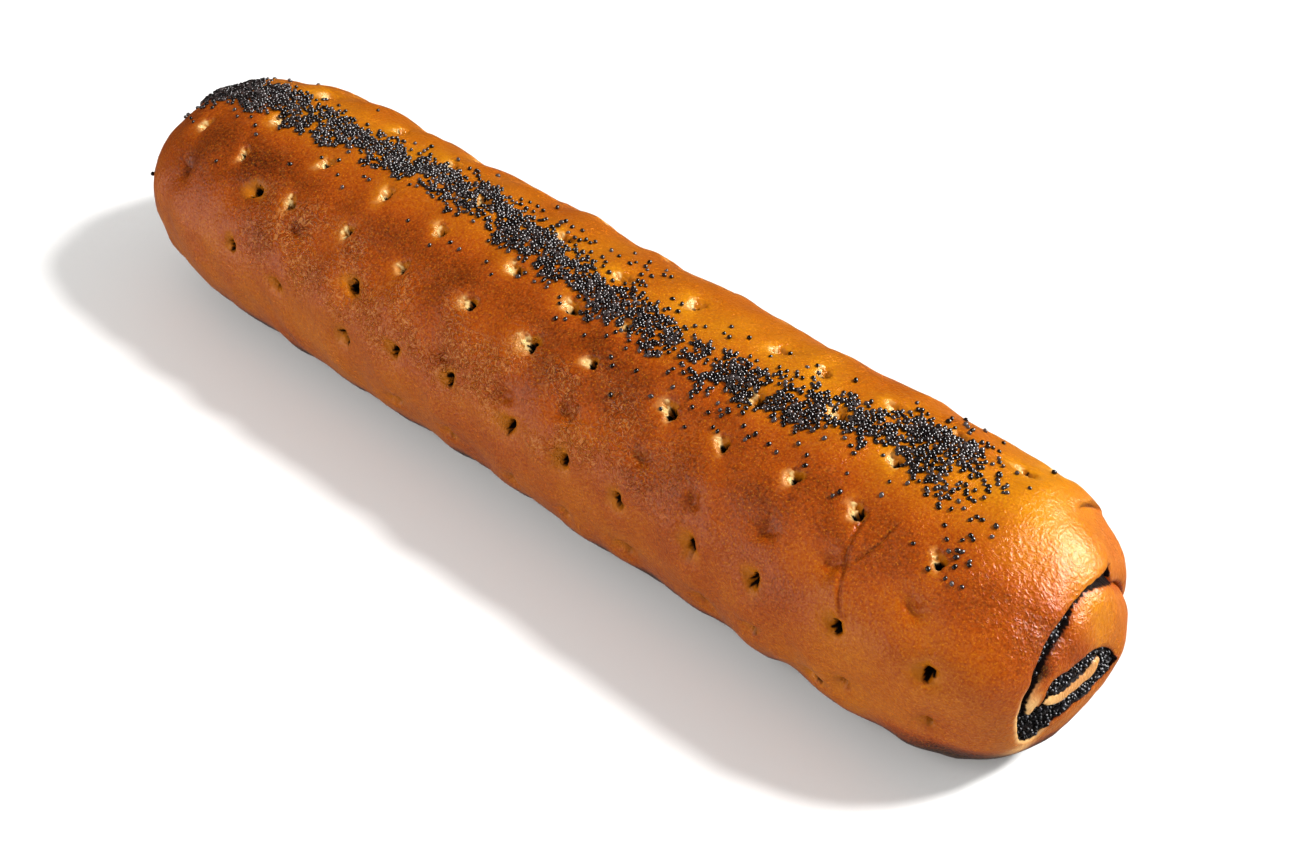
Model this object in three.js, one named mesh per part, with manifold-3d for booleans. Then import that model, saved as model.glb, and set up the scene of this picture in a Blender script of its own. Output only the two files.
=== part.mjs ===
// Poppy seed long loaf: one long milk-bread roll, rolled up round a poppy seed filling.
//
// Frame: millimetres, +Z up. X runs along the loaf, +X towards the end that shows its swirl.
// The origin is the middle of the flat base. A turn is an angle round the loaf in the YZ
// plane, from +Y over the crown (90 degrees) to -Y (180 degrees).

import * as THREE from 'three';
import { mergeVertices } from 'three/addons/utils/BufferGeometryUtils.js';
import Module from 'manifold-3d';

const wasm = await Module();
wasm.setup();

// ---------------------------------------------------------------- driving dimensions

const LOAF = {
  length: 300,
  halfWidthAtFarEnd: 34.8,
  halfWidthAtNearEnd: 35.5,
  heightAtFarEnd: 58.9,
  heightAtNearEnd: 58.5,
  widestAt: 0.57, // height of the widest place, as a share of the whole height
  flankPower: 2.6, // how full the flank is below its widest place
  settle: 1.6, // how far the soft base has sat down flat
  tipHeight: 23.4, // height of the two end tips
};

const NEAR_CAP = { length: 40.7, power: 2.68 };
const FAR_CAP = { length: 55.3, power: 2.94 };

const QUILT = { height: 0.45, pitch: 20 }; // soft swelling between the docking holes

const MESH = { round: 44, capRings: 7, bodyRings: 11 };

// The filling's spiral, seen from the +X end: an outer turn under the outermost layer of
// dough, then a flatter inner curl round the tongue of dough in the middle.
const SPIRAL = {
  start: -38,
  end: 512,
  steps: 54,
  outer: { y: 0.8, z: 27.5, halfWidth: 22.4, halfHeight: 20.1, lean: 0 },
  inner: { y: -4.0, z: 27.2, halfWidth: 12.4, halfHeight: 5, lean: -8 },
  turnInFrom: 180, // the turn at which the band starts to come in towards the curl
  turnInTo: 270,
  overrun: 2.5, // how much further the channel in the dough goes than the filling
  headingStep: 0.5, // degrees either side of a place that its heading is read over
};

const FILLING = {
  outerThickness: 1.5,
  edgeThickness: 0.6,
  innerThickness: 6.1,
  pocketAt: 226, // the thick pocket of filling low on the -Y side
  pocketSpread: 21,
  pocketGain: 6,
  streakAt: 120, // a thicker streak over the -Y shoulder
  streakSpread: 14,
  streakGain: 0.9,
  endTaper: 26, // degrees of turn over which both ends thin out
  startSpare: 1, // degrees by which the thinning begins before the band's first edge
  endSpare: 8, // degrees by which it stops after the band's last edge
  sunk: 0.8, // how far its ends lie behind the dough's end faces
};

// The dough layers part a little at both ends, most of all at the gap near the top.
const MOUTH = {
  opensBefore: 7, // how far in from the tip the layers are fully parted
  depth: 9, // how much further in they start to part
  steps: 2,
  flareOuter: 0.3,
  flareInner: 0.15,
  gapAt: 66,
  gapSpread: 14,
  gapGain: 3,
};

const PAST_TIP = 5; // how far a cutting shape runs on past the loaf's tips

// At the swirl's face the filling is smeared round the tongue's -Y tip.
const SMEAR = {
  x: 147.2,
  y: -16.7,
  z: 27.4,
  long: 4.6,
  wide: 1.9,
  tall: 6.6,
  lean: -20,
  meridians: 12,
  parallels: 8,
};

// Docking holes, pricked before baking in rows along the loaf. A row that shows is a list of
// places, each its x and its turn in degrees; a row on the far side keeps the usual stations.
const DOCKING = {
  shownRows: [
    [[-108, 65], [-81, 60], [-58, 66], [-37, 82], [-12, 75], [10, 79], [29, 71], [54, 70],
      [67, 71], [86, 69], [102, 66], [118, 61]],
    [[-106, 96], [-81, 105], [-58, 104], [-37, 106], [-12, 104], [8, 106], [23, 101],
      [62, 101], [79, 88], [97, 94]],
    [[-126, 117], [-105, 121], [-94, 134], [-81, 130], [-60, 128], [-39, 129], [-15, 128],
      [6, 129], [23, 123], [47, 123], [63, 124], [82, 121], [98, 120], [119, 120]],
    [[-121, 143], [-75, 142], [-50, 150], [-15, 158], [6, 158], [24, 147], [47, 148],
      [64, 152], [83, 146], [100, 143], [120, 142]],
    [[-95, 168], [-77, 178], [-51, 182], [-31, 170], [-12, 167], [9, 172], [27, 172],
      [44, 177], [66, 175], [84, 171], [106, 167], [128, 165]],
    [[-33, 198], [-13, 197], [9, 200], [27, 200], [45, 200], [69, 200], [85, 193],
      [101, 202], [109, 194], [130, 191]],
  ],
  stations: [-105, -81, -59, -38, -14, 7, 25, 47, 64, 84, 101, 120],
  farRows: [36, 14, -8],
  scatter: 1.6, // most that a far hole strays, in millimetres along and in degrees round
  turnDraw: 50, // sets a hole's stray round the loaf apart from its stray along it
  depth: 6.5,
  mouthRadius: 2.5,
  mouthFlare: 1.2, // how much wider the cutting cone is just above the crust
  mouthRise: 1,
  sides: 6,
};

const CLEARANCE = 0.3; // between the dough and the filling
const WELD = 1e-4; // corners closer than this are one
const NORMAL_STEP = 0.01; // the step over which the crust's normal is read

const DOUGH_COLOUR = 0xb5651f;
const FILLING_COLOUR = 0x2b2220;

// ---------------------------------------------------------------- small helpers

const DEGREE = Math.PI / 180;

function smooth(from, to, value) {
  const t = Math.min(1, Math.max(0, (value - from) / (to - from)));
  return t * t * (3 - 2 * t);
}

function mix(a, b, t) {
  return a + (b - a) * t;
}

function bump(at, spread, value) {
  return Math.exp(-(((value - at) / spread) ** 2));
}

function signedPower(value, power) {
  return Math.sign(value) * Math.abs(value) ** power;
}

// A repeatable number from -1 to 1 for the n-th thing of a kind.
function scatter(n, kind) {
  const wave = Math.sin(n * 12.9898 + kind * 78.233) * 43758.5453;
  return 2 * (wave - Math.floor(wave)) - 1;
}

// ---------------------------------------------------------------- the loaf's outer surface

// How much of the full section is left at x: 1 along the body, falling to 0 at the tips.
function capShare(x, inset) {
  const cap = x > 0 ? NEAR_CAP : FAR_CAP;
  const halfLength = LOAF.length / 2 - inset;
  const along = Math.max(0, (Math.abs(x) - (halfLength - cap.length)) / cap.length);
  return Math.max(0, 1 - along ** cap.power) ** (1 / cap.power);
}

function surfacePoint(x, turn, inset = 0) {
  const along = x / LOAF.length + 0.5;
  const share = capShare(x, inset);
  const swell = QUILT.height * share * Math.cos((2 * Math.PI * x) / QUILT.pitch);
  const halfWidth = mix(LOAF.halfWidthAtFarEnd, LOAF.halfWidthAtNearEnd, along) - inset;
  const height = mix(LOAF.heightAtFarEnd, LOAF.heightAtNearEnd, along);
  const widest = LOAF.widestAt * height;
  const cosine = Math.cos(turn);
  const sine = Math.sin(turn);

  let y;
  let z;
  if (sine >= 0) {
    y = halfWidth * cosine;
    z = widest + (height - widest - inset) * sine;
  } else {
    y = halfWidth * signedPower(cosine, 2 / LOAF.flankPower);
    z = widest + (widest + LOAF.settle - inset) * signedPower(sine, 2 / LOAF.flankPower);
  }
  y += swell * cosine * sine ** 2;
  return new THREE.Vector3(
    x,
    y * share,
    Math.max(inset, LOAF.tipHeight + (z - LOAF.tipHeight) * share)
  );
}

// Ring stations inside one cap, as distances from its tip, closer together near the tip.
function capSteps(cap) {
  const steps = [];
  for (let i = 1; i < MESH.capRings; i += 1) {
    const share = Math.cos((i / MESH.capRings) * 90 * DEGREE) ** (2 / cap.power);
    steps.push(cap.length * (1 - share));
  }
  return steps;
}

function ringStations(inset) {
  const tip = LOAF.length / 2 - inset;
  const stations = capSteps(FAR_CAP).map((step) => step - tip);
  for (let i = 0; i <= MESH.bodyRings; i += 1) {
    stations.push(mix(FAR_CAP.length - tip, tip - NEAR_CAP.length, i / MESH.bodyRings));
  }
  return [...stations, ...capSteps(NEAR_CAP).map((step) => tip - step).reverse()];
}

// A closed skin from rings of points: one tip, the rings in order, the other tip.
function skinFromRings(rings, firstTip, lastTip) {
  const count = rings[0].length;
  const points = [firstTip, ...rings.flat(), lastTip];
  const faces = [];
  const at = (ring, k) => 1 + ring * count + (k % count);
  for (let k = 0; k < count; k += 1) {
    faces.push(0, at(0, k + 1), at(0, k));
    faces.push(points.length - 1, at(rings.length - 1, k), at(rings.length - 1, k + 1));
    for (let ring = 0; ring + 1 < rings.length; ring += 1) {
      faces.push(at(ring, k), at(ring, k + 1), at(ring + 1, k + 1));
      faces.push(at(ring, k), at(ring + 1, k + 1), at(ring + 1, k));
    }
  }
  return toGeometry(points, faces);
}

function toGeometry(points, faces) {
  const geometry = new THREE.BufferGeometry();
  geometry.setAttribute(
    'position',
    new THREE.Float32BufferAttribute(points.flatMap((p) => [p.x, p.y, p.z]), 3)
  );
  geometry.setIndex(faces);
  return geometry;
}

function loafGeometry(inset = 0) {
  const rings = ringStations(inset).map((x) => {
    const ring = [];
    for (let k = 0; k < MESH.round; k += 1) {
      ring.push(surfacePoint(x, (k / MESH.round) * 360 * DEGREE, inset));
    }
    return ring;
  });
  const tip = LOAF.length / 2 - inset;
  return skinFromRings(
    rings,
    new THREE.Vector3(-tip, 0, LOAF.tipHeight),
    new THREE.Vector3(tip, 0, LOAF.tipHeight)
  );
}

// ---------------------------------------------------------------- the spiral of filling

function spiralPoint(turn) {
  const inward = smooth(SPIRAL.turnInFrom, SPIRAL.turnInTo, turn);
  const { outer, inner } = SPIRAL;
  const centre = new THREE.Vector2(mix(outer.y, inner.y, inward), mix(outer.z, inner.z, inward));
  return new THREE.Vector2(
    mix(outer.halfWidth, inner.halfWidth, inward) * Math.cos(turn * DEGREE),
    mix(outer.halfHeight, inner.halfHeight, inward) * Math.sin(turn * DEGREE)
  )
    .rotateAround(new THREE.Vector2(), mix(outer.lean, inner.lean, inward) * DEGREE)
    .add(centre);
}

function fillingThickness(turn) {
  const inward = smooth(SPIRAL.turnInFrom, SPIRAL.turnInTo, turn);
  const extra =
    FILLING.pocketGain * bump(FILLING.pocketAt, FILLING.pocketSpread, turn) +
    FILLING.streakGain * bump(FILLING.streakAt, FILLING.streakSpread, turn);
  const taper =
    smooth(SPIRAL.start - FILLING.startSpare, SPIRAL.start + FILLING.endTaper, turn) *
    smooth(SPIRAL.end + FILLING.endSpare, SPIRAL.end - FILLING.endTaper, turn);
  const full = mix(FILLING.outerThickness, FILLING.innerThickness, inward) + extra;
  return mix(FILLING.edgeThickness, full, taper);
}

// How far the dough stands off the filling at its very end face, on the band's outer side.
function outerFlare(turn) {
  return mix(MOUTH.flareOuter, MOUTH.flareInner, smooth(SPIRAL.turnInFrom, SPIRAL.turnInTo, turn));
}

// The same on the band's inner side, which holds the gap near the top.
function innerFlare(turn) {
  return outerFlare(turn) + MOUTH.gapGain * bump(MOUTH.gapAt, MOUTH.gapSpread, turn);
}

// The band's outline in the YZ plane, as one closed loop.
function bandOutline(extra, flare) {
  const innerSide = [];
  const outerSide = [];
  const overrun = extra > 0 ? SPIRAL.overrun : 0;
  const step = SPIRAL.headingStep;
  for (let i = 0; i <= SPIRAL.steps; i += 1) {
    const turn = mix(SPIRAL.start - overrun, SPIRAL.end + overrun, i / SPIRAL.steps);
    const here = spiralPoint(turn);
    const ahead = spiralPoint(turn + step).sub(spiralPoint(turn - step)).normalize();
    const inwards = new THREE.Vector2(-ahead.y, ahead.x);
    const half = fillingThickness(turn) / 2 + extra;
    innerSide.push(here.clone().addScaledVector(inwards, half + flare * innerFlare(turn)));
    outerSide.push(here.clone().addScaledVector(inwards, -half - flare * outerFlare(turn)));
  }
  return [...outerSide, ...innerSide.reverse()];
}

// The band carried along the loaf; flares[i] is how far the layers part at stations[i].
function bandGeometry(extra, stations, flares) {
  const outlines = flares.map((flare) => bandOutline(extra, flare));
  const count = outlines[0].length;
  const points = [];
  const faces = [];
  outlines.forEach((outline, i) => {
    outline.forEach((p) => points.push(new THREE.Vector3(stations[i], p.x, p.y)));
  });
  for (let ring = 0; ring + 1 < outlines.length; ring += 1) {
    for (let k = 0; k < count; k += 1) {
      const next = (k + 1) % count;
      const a = ring * count + k;
      const b = ring * count + next;
      const c = b + count;
      const d = a + count;
      faces.push(a, b, c, a, c, d);
    }
  }
  const last = (outlines.length - 1) * count;
  for (const [a, b, c] of THREE.ShapeUtils.triangulateShape(outlines[0], [])) {
    faces.push(a, c, b);
  }
  for (const [a, b, c] of THREE.ShapeUtils.triangulateShape(outlines.at(-1), [])) {
    faces.push(last + a, last + b, last + c);
  }
  return toGeometry(points, faces);
}

// Stations and flares of the channel in the dough: it opens towards both end faces.
function channelStations() {
  const stations = [];
  const flares = [];
  const tip = LOAF.length / 2;
  for (let i = 0; i <= MOUTH.steps; i += 1) {
    const open = i / MOUTH.steps;
    stations.push(tip - MOUTH.opensBefore - MOUTH.depth * (1 - open));
    flares.push(open * open);
  }
  stations.push(tip + PAST_TIP);
  flares.push(1);
  return {
    stations: [...stations.map((x) => -x).reverse(), ...stations],
    flares: [...flares.slice().reverse(), ...flares],
  };
}

function smearGeometry(extra) {
  const blob = new THREE.SphereGeometry(1, SMEAR.meridians, SMEAR.parallels);
  blob.scale(SMEAR.long + extra, SMEAR.wide + extra, SMEAR.tall + extra);
  blob.rotateX(SMEAR.lean * DEGREE);
  blob.translate(SMEAR.x, SMEAR.y, SMEAR.z);
  return blob;
}

// ---------------------------------------------------------------- docking holes

// One pricked hole, mouth up along +Y, so that it can be turned onto the crust.
function dockingHole() {
  const { depth, mouthRadius, mouthFlare, mouthRise, sides } = DOCKING;
  const profile = [
    new THREE.Vector2(0, -depth),
    new THREE.Vector2(mouthFlare * mouthRadius, mouthRise),
    new THREE.Vector2(0, mouthRise),
  ];
  return new THREE.LatheGeometry(profile, sides);
}

function holePlaces() {
  const places = DOCKING.shownRows.flat().map(([x, turn]) => ({ x, turn: turn * DEGREE }));
  DOCKING.farRows.forEach((rowTurn, row) => {
    DOCKING.stations.forEach((station, n) => {
      const x = station + DOCKING.scatter * scatter(n, row);
      const stray = DOCKING.scatter * scatter(n + DOCKING.turnDraw, row);
      places.push({ x, turn: (rowTurn + stray) * DEGREE });
    });
  });
  return places;
}

function outwardNormal(x, turn) {
  const step = NORMAL_STEP;
  const alongX = surfacePoint(x + step, turn).sub(surfacePoint(x - step, turn));
  const alongTurn = surfacePoint(x, turn + step).sub(surfacePoint(x, turn - step));
  return alongTurn.cross(alongX).normalize();
}

function dockingHoles() {
  const up = new THREE.Vector3(0, 1, 0);
  return holePlaces().map(({ x, turn }) => {
    const hole = dockingHole();
    const at = surfacePoint(x, turn);
    const turnUp = new THREE.Quaternion().setFromUnitVectors(up, outwardNormal(x, turn));
    hole.applyQuaternion(turnUp);
    hole.translate(at.x, at.y, at.z);
    return hole;
  });
}

// ---------------------------------------------------------------- solids

function toSolid(geometry) {
  const bare = geometry.clone();
  bare.deleteAttribute('normal');
  bare.deleteAttribute('uv');
  const merged = mergeVertices(bare, WELD);
  const kept = [];
  const index = merged.index.array;
  for (let i = 0; i < index.length; i += 3) {
    const [a, b, c] = [index[i], index[i + 1], index[i + 2]];
    if (a !== b && b !== c && c !== a) {
      kept.push(a, b, c);
    }
  }
  return new wasm.Manifold(
    new wasm.Mesh({
      numProp: 3,
      vertProperties: merged.attributes.position.array,
      triVerts: new Uint32Array(kept),
    })
  );
}

function toMesh(name, solid, material) {
  const { vertProperties, triVerts, numProp } = solid.getMesh();
  const positions = [];
  for (let i = 0; i < vertProperties.length; i += numProp) {
    positions.push(vertProperties[i], vertProperties[i + 1], vertProperties[i + 2]);
  }
  const geometry = new THREE.BufferGeometry();
  geometry.setAttribute('position', new THREE.Float32BufferAttribute(positions, 3));
  geometry.setIndex(Array.from(triVerts));
  geometry.computeVertexNormals();
  const mesh = new THREE.Mesh(geometry, material);
  mesh.name = name;
  return mesh;
}

function makeDough() {
  const { stations, flares } = channelStations();
  let dough = toSolid(loafGeometry())
    .subtract(toSolid(bandGeometry(CLEARANCE, stations, flares)))
    .subtract(toSolid(smearGeometry(CLEARANCE)));
  for (const hole of dockingHoles()) {
    dough = dough.subtract(toSolid(hole));
  }
  return toMesh(
    'dough_roll',
    dough,
    new THREE.MeshStandardMaterial({ color: DOUGH_COLOUR, roughness: 0.42, metalness: 0 })
  );
}

function makeFilling() {
  const reach = LOAF.length / 2 + PAST_TIP;
  const filling = toSolid(bandGeometry(0, [-reach, reach], [0, 0]))
    .add(toSolid(smearGeometry(0)))
    .intersect(toSolid(loafGeometry(FILLING.sunk)));
  return toMesh(
    'poppy_filling',
    filling,
    new THREE.MeshStandardMaterial({ color: FILLING_COLOUR, roughness: 0.7, metalness: 0 })
  );
}

const loaf = new THREE.Group();
loaf.add(makeDough());
loaf.add(makeFilling());

export default loaf;
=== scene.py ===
"""Poppy seed long loaf: the baked skin, filling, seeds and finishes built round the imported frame.

Shapes are worked out in millimetres in the loaf's own frame: X along the loaf, +X the end that
shows its swirl, +Z up, the origin in the middle of the flat base. A turn is an angle round the
loaf in the YZ plane, from +Y over the crown (90 degrees) to -Y (180 degrees).
"""

from __future__ import annotations

import logging
import math
from dataclasses import astuple, dataclass, field
from enum import Enum

import bmesh
import bpy
import numpy as np
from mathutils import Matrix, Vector


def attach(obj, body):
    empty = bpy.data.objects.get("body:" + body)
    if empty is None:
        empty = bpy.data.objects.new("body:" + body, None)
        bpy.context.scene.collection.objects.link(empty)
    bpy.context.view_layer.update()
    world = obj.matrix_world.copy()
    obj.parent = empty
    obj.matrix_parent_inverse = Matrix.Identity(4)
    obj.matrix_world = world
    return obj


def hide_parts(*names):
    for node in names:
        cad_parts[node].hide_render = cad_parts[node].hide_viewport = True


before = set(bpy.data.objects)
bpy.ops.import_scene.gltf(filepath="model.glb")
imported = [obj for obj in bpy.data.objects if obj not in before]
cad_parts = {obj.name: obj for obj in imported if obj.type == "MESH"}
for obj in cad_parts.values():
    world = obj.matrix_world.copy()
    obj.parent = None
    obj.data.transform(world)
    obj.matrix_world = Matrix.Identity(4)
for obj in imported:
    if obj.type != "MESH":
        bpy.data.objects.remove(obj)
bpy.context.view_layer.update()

MM = 0.001
LOG = logging.getLogger("poppy_loaf")
Array = np.ndarray


# ------------------------------------------------------------------ small helpers


def linear(hex_colour: str) -> tuple[float, float, float, float]:
    """Turns an sRGB hex colour into the linear colour a shader wants.

    Args:
        hex_colour: Six hex digits, with or without a leading hash.

    Returns:
        Linear red, green and blue, and an alpha of one.
    """
    digits = hex_colour.lstrip("#")
    parts = [int(digits[i : i + 2], 16) / 255 for i in (0, 2, 4)]
    red, green, blue = (
        c / 12.92 if c <= 0.04045 else ((c + 0.055) / 1.055) ** 2.4 for c in parts
    )
    return (red, green, blue, 1.0)


def smooth(start: float, end: float, value: Array) -> Array:
    """Eases from 0 at start to 1 at end."""
    t = np.clip((value - start) / (end - start), 0.0, 1.0)
    return t * t * (3 - 2 * t)


def bump(at: float, spread: float, value: Array) -> Array:
    """A soft hump of height 1, centred at a value."""
    return np.exp(-(((value - at) / spread) ** 2))


def blend(start: Array | float, end: Array | float, share: Array) -> Array:
    """Goes evenly from one value to another as the share goes from 0 to 1."""
    return start * (1 - share) + end * share


def unit(vectors: Array) -> Array:
    """Scales vectors, one row each, to length 1."""
    return vectors / np.linalg.norm(vectors, axis=1, keepdims=True)


def scatter(count: float, kind: float) -> float:
    """A repeatable number from -1 to 1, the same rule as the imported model's holes."""
    wave = math.sin(count * 12.9898 + kind * 78.233) * 43758.5453
    return 2 * (wave - math.floor(wave)) - 1


def add_node(
    tree: bpy.types.NodeTree,
    kind: str,
    inputs: dict | None = None,
    stops: list | None = None,
    **settings: object,
) -> bpy.types.Node:
    """Adds one node to a tree, with its settings and links.

    Args:
        tree: The shader or geometry tree that gets the node.
        kind: Blender's name for the node type.
        inputs: Socket name or index to a plain value or another node's output socket.
        stops: Positions and colours, for a node that holds a colour ramp.
        **settings: Properties of the node itself.

    Returns:
        The new node.
    """
    made = tree.nodes.new(kind)
    for name, value in settings.items():
        setattr(made, name, value)
    for key, value in (inputs or {}).items():
        if isinstance(value, bpy.types.NodeSocket):
            tree.links.new(value, made.inputs[key])
        else:
            made.inputs[key].default_value = value
    if stops:
        ramp = made.color_ramp
        while len(ramp.elements) < len(stops):
            ramp.elements.new(1.0)
        for element, (position, colour) in zip(ramp.elements, stops):
            element.position = position
            element.color = linear(colour)
    return made


def maths(tree: bpy.types.NodeTree, operation: str, *values: object) -> bpy.types.NodeSocket:
    """Adds one maths node and gives its result."""
    inputs = dict(enumerate(values))
    return add_node(tree, "ShaderNodeMath", inputs, operation=operation).outputs[0]


def link_object(name: str, data: bpy.types.ID) -> bpy.types.Object:
    """Makes an object at the origin and links it to the scene."""
    made = bpy.data.objects.new(name, data)
    bpy.context.scene.collection.objects.link(made)
    return made


def mesh_object(
    name: str, points: Array, faces: list, attributes: dict[str, Array] | None = None
) -> bpy.types.Object:
    """Makes a smooth-shaded mesh object at the origin.

    Args:
        name: The piece's name.
        points: Vertex places in millimetres, one row each.
        faces: Vertex numbers of each face.
        attributes: Float vertex attributes by name.

    Returns:
        The object, linked to the scene, in metres.
    """
    mesh = bpy.data.meshes.new(name)
    mesh.from_pydata((points * MM).tolist(), [], faces)
    mesh.update()
    for key, values in (attributes or {}).items():
        store(mesh, key, values)
    mesh.shade_smooth()
    return link_object(name, mesh)


def store(mesh: bpy.types.Mesh, name: str, values: Array) -> None:
    """Stores one float for each vertex under a name."""
    layer = mesh.attributes.new(name, "FLOAT", "POINT")
    layer.data.foreach_set("value", np.asarray(values, dtype=np.float32))


def stored(mesh: bpy.types.Mesh, name: str) -> Array:
    """Reads back the floats that are stored under a name."""
    values = np.empty(len(mesh.vertices), dtype=np.float32)
    mesh.attributes[name].data.foreach_get("value", values)
    return values


def rounded(corners: tuple, closed: bool, rounds: int = 2) -> Array:
    """Rounds a traced line's corners by cutting them off, twice over.

    Args:
        corners: The line's corners, as pairs.
        closed: True when the last corner joins the first.
        rounds: How often the corners are cut.

    Returns:
        The rounded line, one row a corner.
    """
    path = np.array(corners, dtype=float)
    for _ in range(rounds):
        here = path if closed else path[:-1]
        ahead = np.roll(path, -1, axis=0) if closed else path[1:]
        cut = np.stack([0.75 * here + 0.25 * ahead, 0.25 * here + 0.75 * ahead], axis=1)
        cut = cut.reshape(-1, 2)
        path = cut if closed else np.vstack([path[:1], cut, path[-1:]])
    return path


def edge_gap(places: Array, path: Array, closed: bool) -> Array:
    """Measures how far places are from a line, below 0 inside a closed one.

    Args:
        places: Places in the plane, one row each.
        path: The line's corners.
        closed: True for a closed outline.

    Returns:
        One distance each.
    """
    starts = path if closed else path[:-1]
    ends = np.roll(path, -1, axis=0) if closed else path[1:]
    best = np.full(len(places), 1e9)
    inside = np.zeros(len(places), dtype=bool)
    for a, b in zip(starts, ends):
        along = b - a
        off = places - a
        share = np.clip((off @ along) / max(along @ along, 1e-12), 0, 1)
        best = np.minimum(best, np.hypot(*(off - share[:, None] * along).T))
        if closed and a[1] != b[1]:
            crosses = (a[1] > places[:, 1]) != (b[1] > places[:, 1])
            inside ^= crosses & (off[:, 0] < off[:, 1] / along[1] * along[0])
    return np.where(inside, -best, best)


@dataclass(frozen=True)
class Spot:
    """A soft spot in the end view: its middle, how wide and high it is, and its strength."""

    y: float
    z: float
    wide: float
    high: float
    strength: float = 1.0

    def at(self, y: Array, z: Array) -> Array:
        """Gives the spot's strength at places in the end view."""
        off = ((y - self.y) / self.wide) ** 2 + ((z - self.z) / self.high) ** 2
        return self.strength * np.exp(-off)


@dataclass(frozen=True)
class Ripples:
    """A smooth, repeatable random relief made of many plane waves."""

    wavelength: float
    seed: int
    waves: int = 22
    spread: float = 0.45

    def at(self, points: Array, stretch: tuple[float, float, float] = (1, 1, 1)) -> Array:
        """Gives the relief at each point.

        Args:
            points: Places in millimetres.
            stretch: How much longer the waves are along X, Y and Z.

        Returns:
            One value each, with a standard deviation of about one.
        """
        dice = np.random.default_rng(self.seed)
        total = np.zeros(len(points))
        scaled = points / np.array(stretch)
        for _ in range(self.waves):
            way = dice.normal(size=3)
            way /= np.linalg.norm(way)
            size = self.wavelength * math.exp(dice.uniform(-self.spread, self.spread))
            total += np.sin(scaled @ way * (2 * math.pi / size) + dice.uniform(0, 2 * math.pi))
        return total * math.sqrt(2 / self.waves)


# ------------------------------------------------------------------ the loaf's form


@dataclass(frozen=True)
class Cap:
    """One rounded end of the loaf: how long it is, and how square its rounding."""

    length: float
    power: float


@dataclass(frozen=True)
class LoafForm:
    """The loaf's outer surface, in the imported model's own sizes."""

    length: float = 300.0
    half_width_far: float = 34.8
    half_width_near: float = 35.5
    height_far: float = 58.9
    height_near: float = 58.5
    widest_at: float = 0.57
    flank_power: float = 2.6
    settle: float = 1.6
    tip_height: float = 23.4
    near_cap: Cap = Cap(40.7, 2.68)
    far_cap: Cap = Cap(55.3, 2.94)
    profile_radius: float = 30.0
    profile_samples: int = 1500
    rim_samples: int = 1441
    rim_depth: float = 0.3

    def section(self, x: Array, share: Array, turn: Array) -> Array:
        """Gives points of the outer surface.

        Args:
            x: Places along the loaf.
            share: How much of the full section is left there, from 1 down to 0 at a tip.
            turn: Angles round the loaf, in radians.

        Returns:
            One row of X, Y and Z each.
        """
        along = x / self.length + 0.5
        half_width = blend(self.half_width_far, self.half_width_near, along)
        height = blend(self.height_far, self.height_near, along)
        widest = self.widest_at * height
        cosine, sine = np.cos(turn), np.sin(turn)
        fold = 2 / self.flank_power
        over = sine >= 0
        y = np.where(over, cosine, np.sign(cosine) * np.abs(cosine) ** fold) * half_width
        above = widest + (height - widest) * sine
        below = widest - (widest + self.settle) * np.abs(sine) ** fold
        z = self.tip_height + (np.where(over, above, below) - self.tip_height) * share
        return np.stack([x, y * share, np.maximum(z, 0.0)], axis=-1)

    def profile(self) -> tuple[Array, Array, Array]:
        """Lays out the loaf's side view as a path from the far tip to the near tip.

        Returns:
            Path lengths, and the x and the section's share at each of them.
        """
        quarter = np.linspace(0, math.pi / 2, self.profile_samples)

        def cap_arc(cap: Cap) -> tuple[Array, Array]:
            """Distances in from the tip, and shares, from the tip to the cap's full size."""
            inward = cap.length * (1 - np.cos(quarter) ** (2 / cap.power))
            return inward, np.sin(quarter) ** (2 / cap.power)

        far_in, far_share = cap_arc(self.far_cap)
        near_in, near_share = cap_arc(self.near_cap)
        half = self.length / 2
        x = np.concatenate([far_in - half, (half - near_in)[::-1]])
        share = np.concatenate([far_share, near_share[::-1]])
        steps = np.hypot(np.diff(x), np.diff(share) * self.profile_radius)
        return np.concatenate([[0.0], np.cumsum(steps)]), x, share

    def surface(self, x: Array, turn: Array) -> Array:
        """Gives points of the surface from places along the loaf and turns in radians."""
        _, at, share = self.profile()
        half = len(at) // 2
        far = np.interp(x, at[:half], share[:half])
        near = np.interp(x, at[half:], share[half:])
        return self.section(x, np.where(x < 0, far, near), turn)

    def end_x(self, y: Array, z: Array, near: bool) -> Array:
        """Finds how far along X an end's surface stands at places in the YZ plane.

        Args:
            y: Sideways places.
            z: Heights.
            near: True for the +X end.

        Returns:
            The surface's X at each place.
        """
        side = 1 if near else -1
        cap = self.near_cap if near else self.far_cap
        turns = np.linspace(0, 2 * math.pi, self.rim_samples)
        rim_x = np.full_like(turns, side * (self.length / 2 - self.rim_depth * cap.length))
        rim = self.section(rim_x, np.ones_like(turns), turns)[:, 1:]
        rim[:, 1] -= self.tip_height
        bearing = np.unwrap(np.arctan2(rim[:, 1], rim[:, 0]))
        reach = np.hypot(rim[:, 0], rim[:, 1])
        wanted = np.mod(np.arctan2(z - self.tip_height, y) - bearing[0], 2 * math.pi) + bearing[0]
        share = np.hypot(y, z - self.tip_height) / np.interp(wanted, bearing, reach)
        left = np.clip(1 - np.clip(share, 0, 1) ** cap.power, 0, 1) ** (1 / cap.power)
        return side * (self.length / 2 - cap.length * (1 - left))


# ------------------------------------------------------------------ the swirl


@dataclass(frozen=True)
class Curl:
    """One ellipse of the spiral: its middle, half sizes and lean in degrees."""

    y: float
    z: float
    half_width: float
    half_height: float
    lean: float


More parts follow.
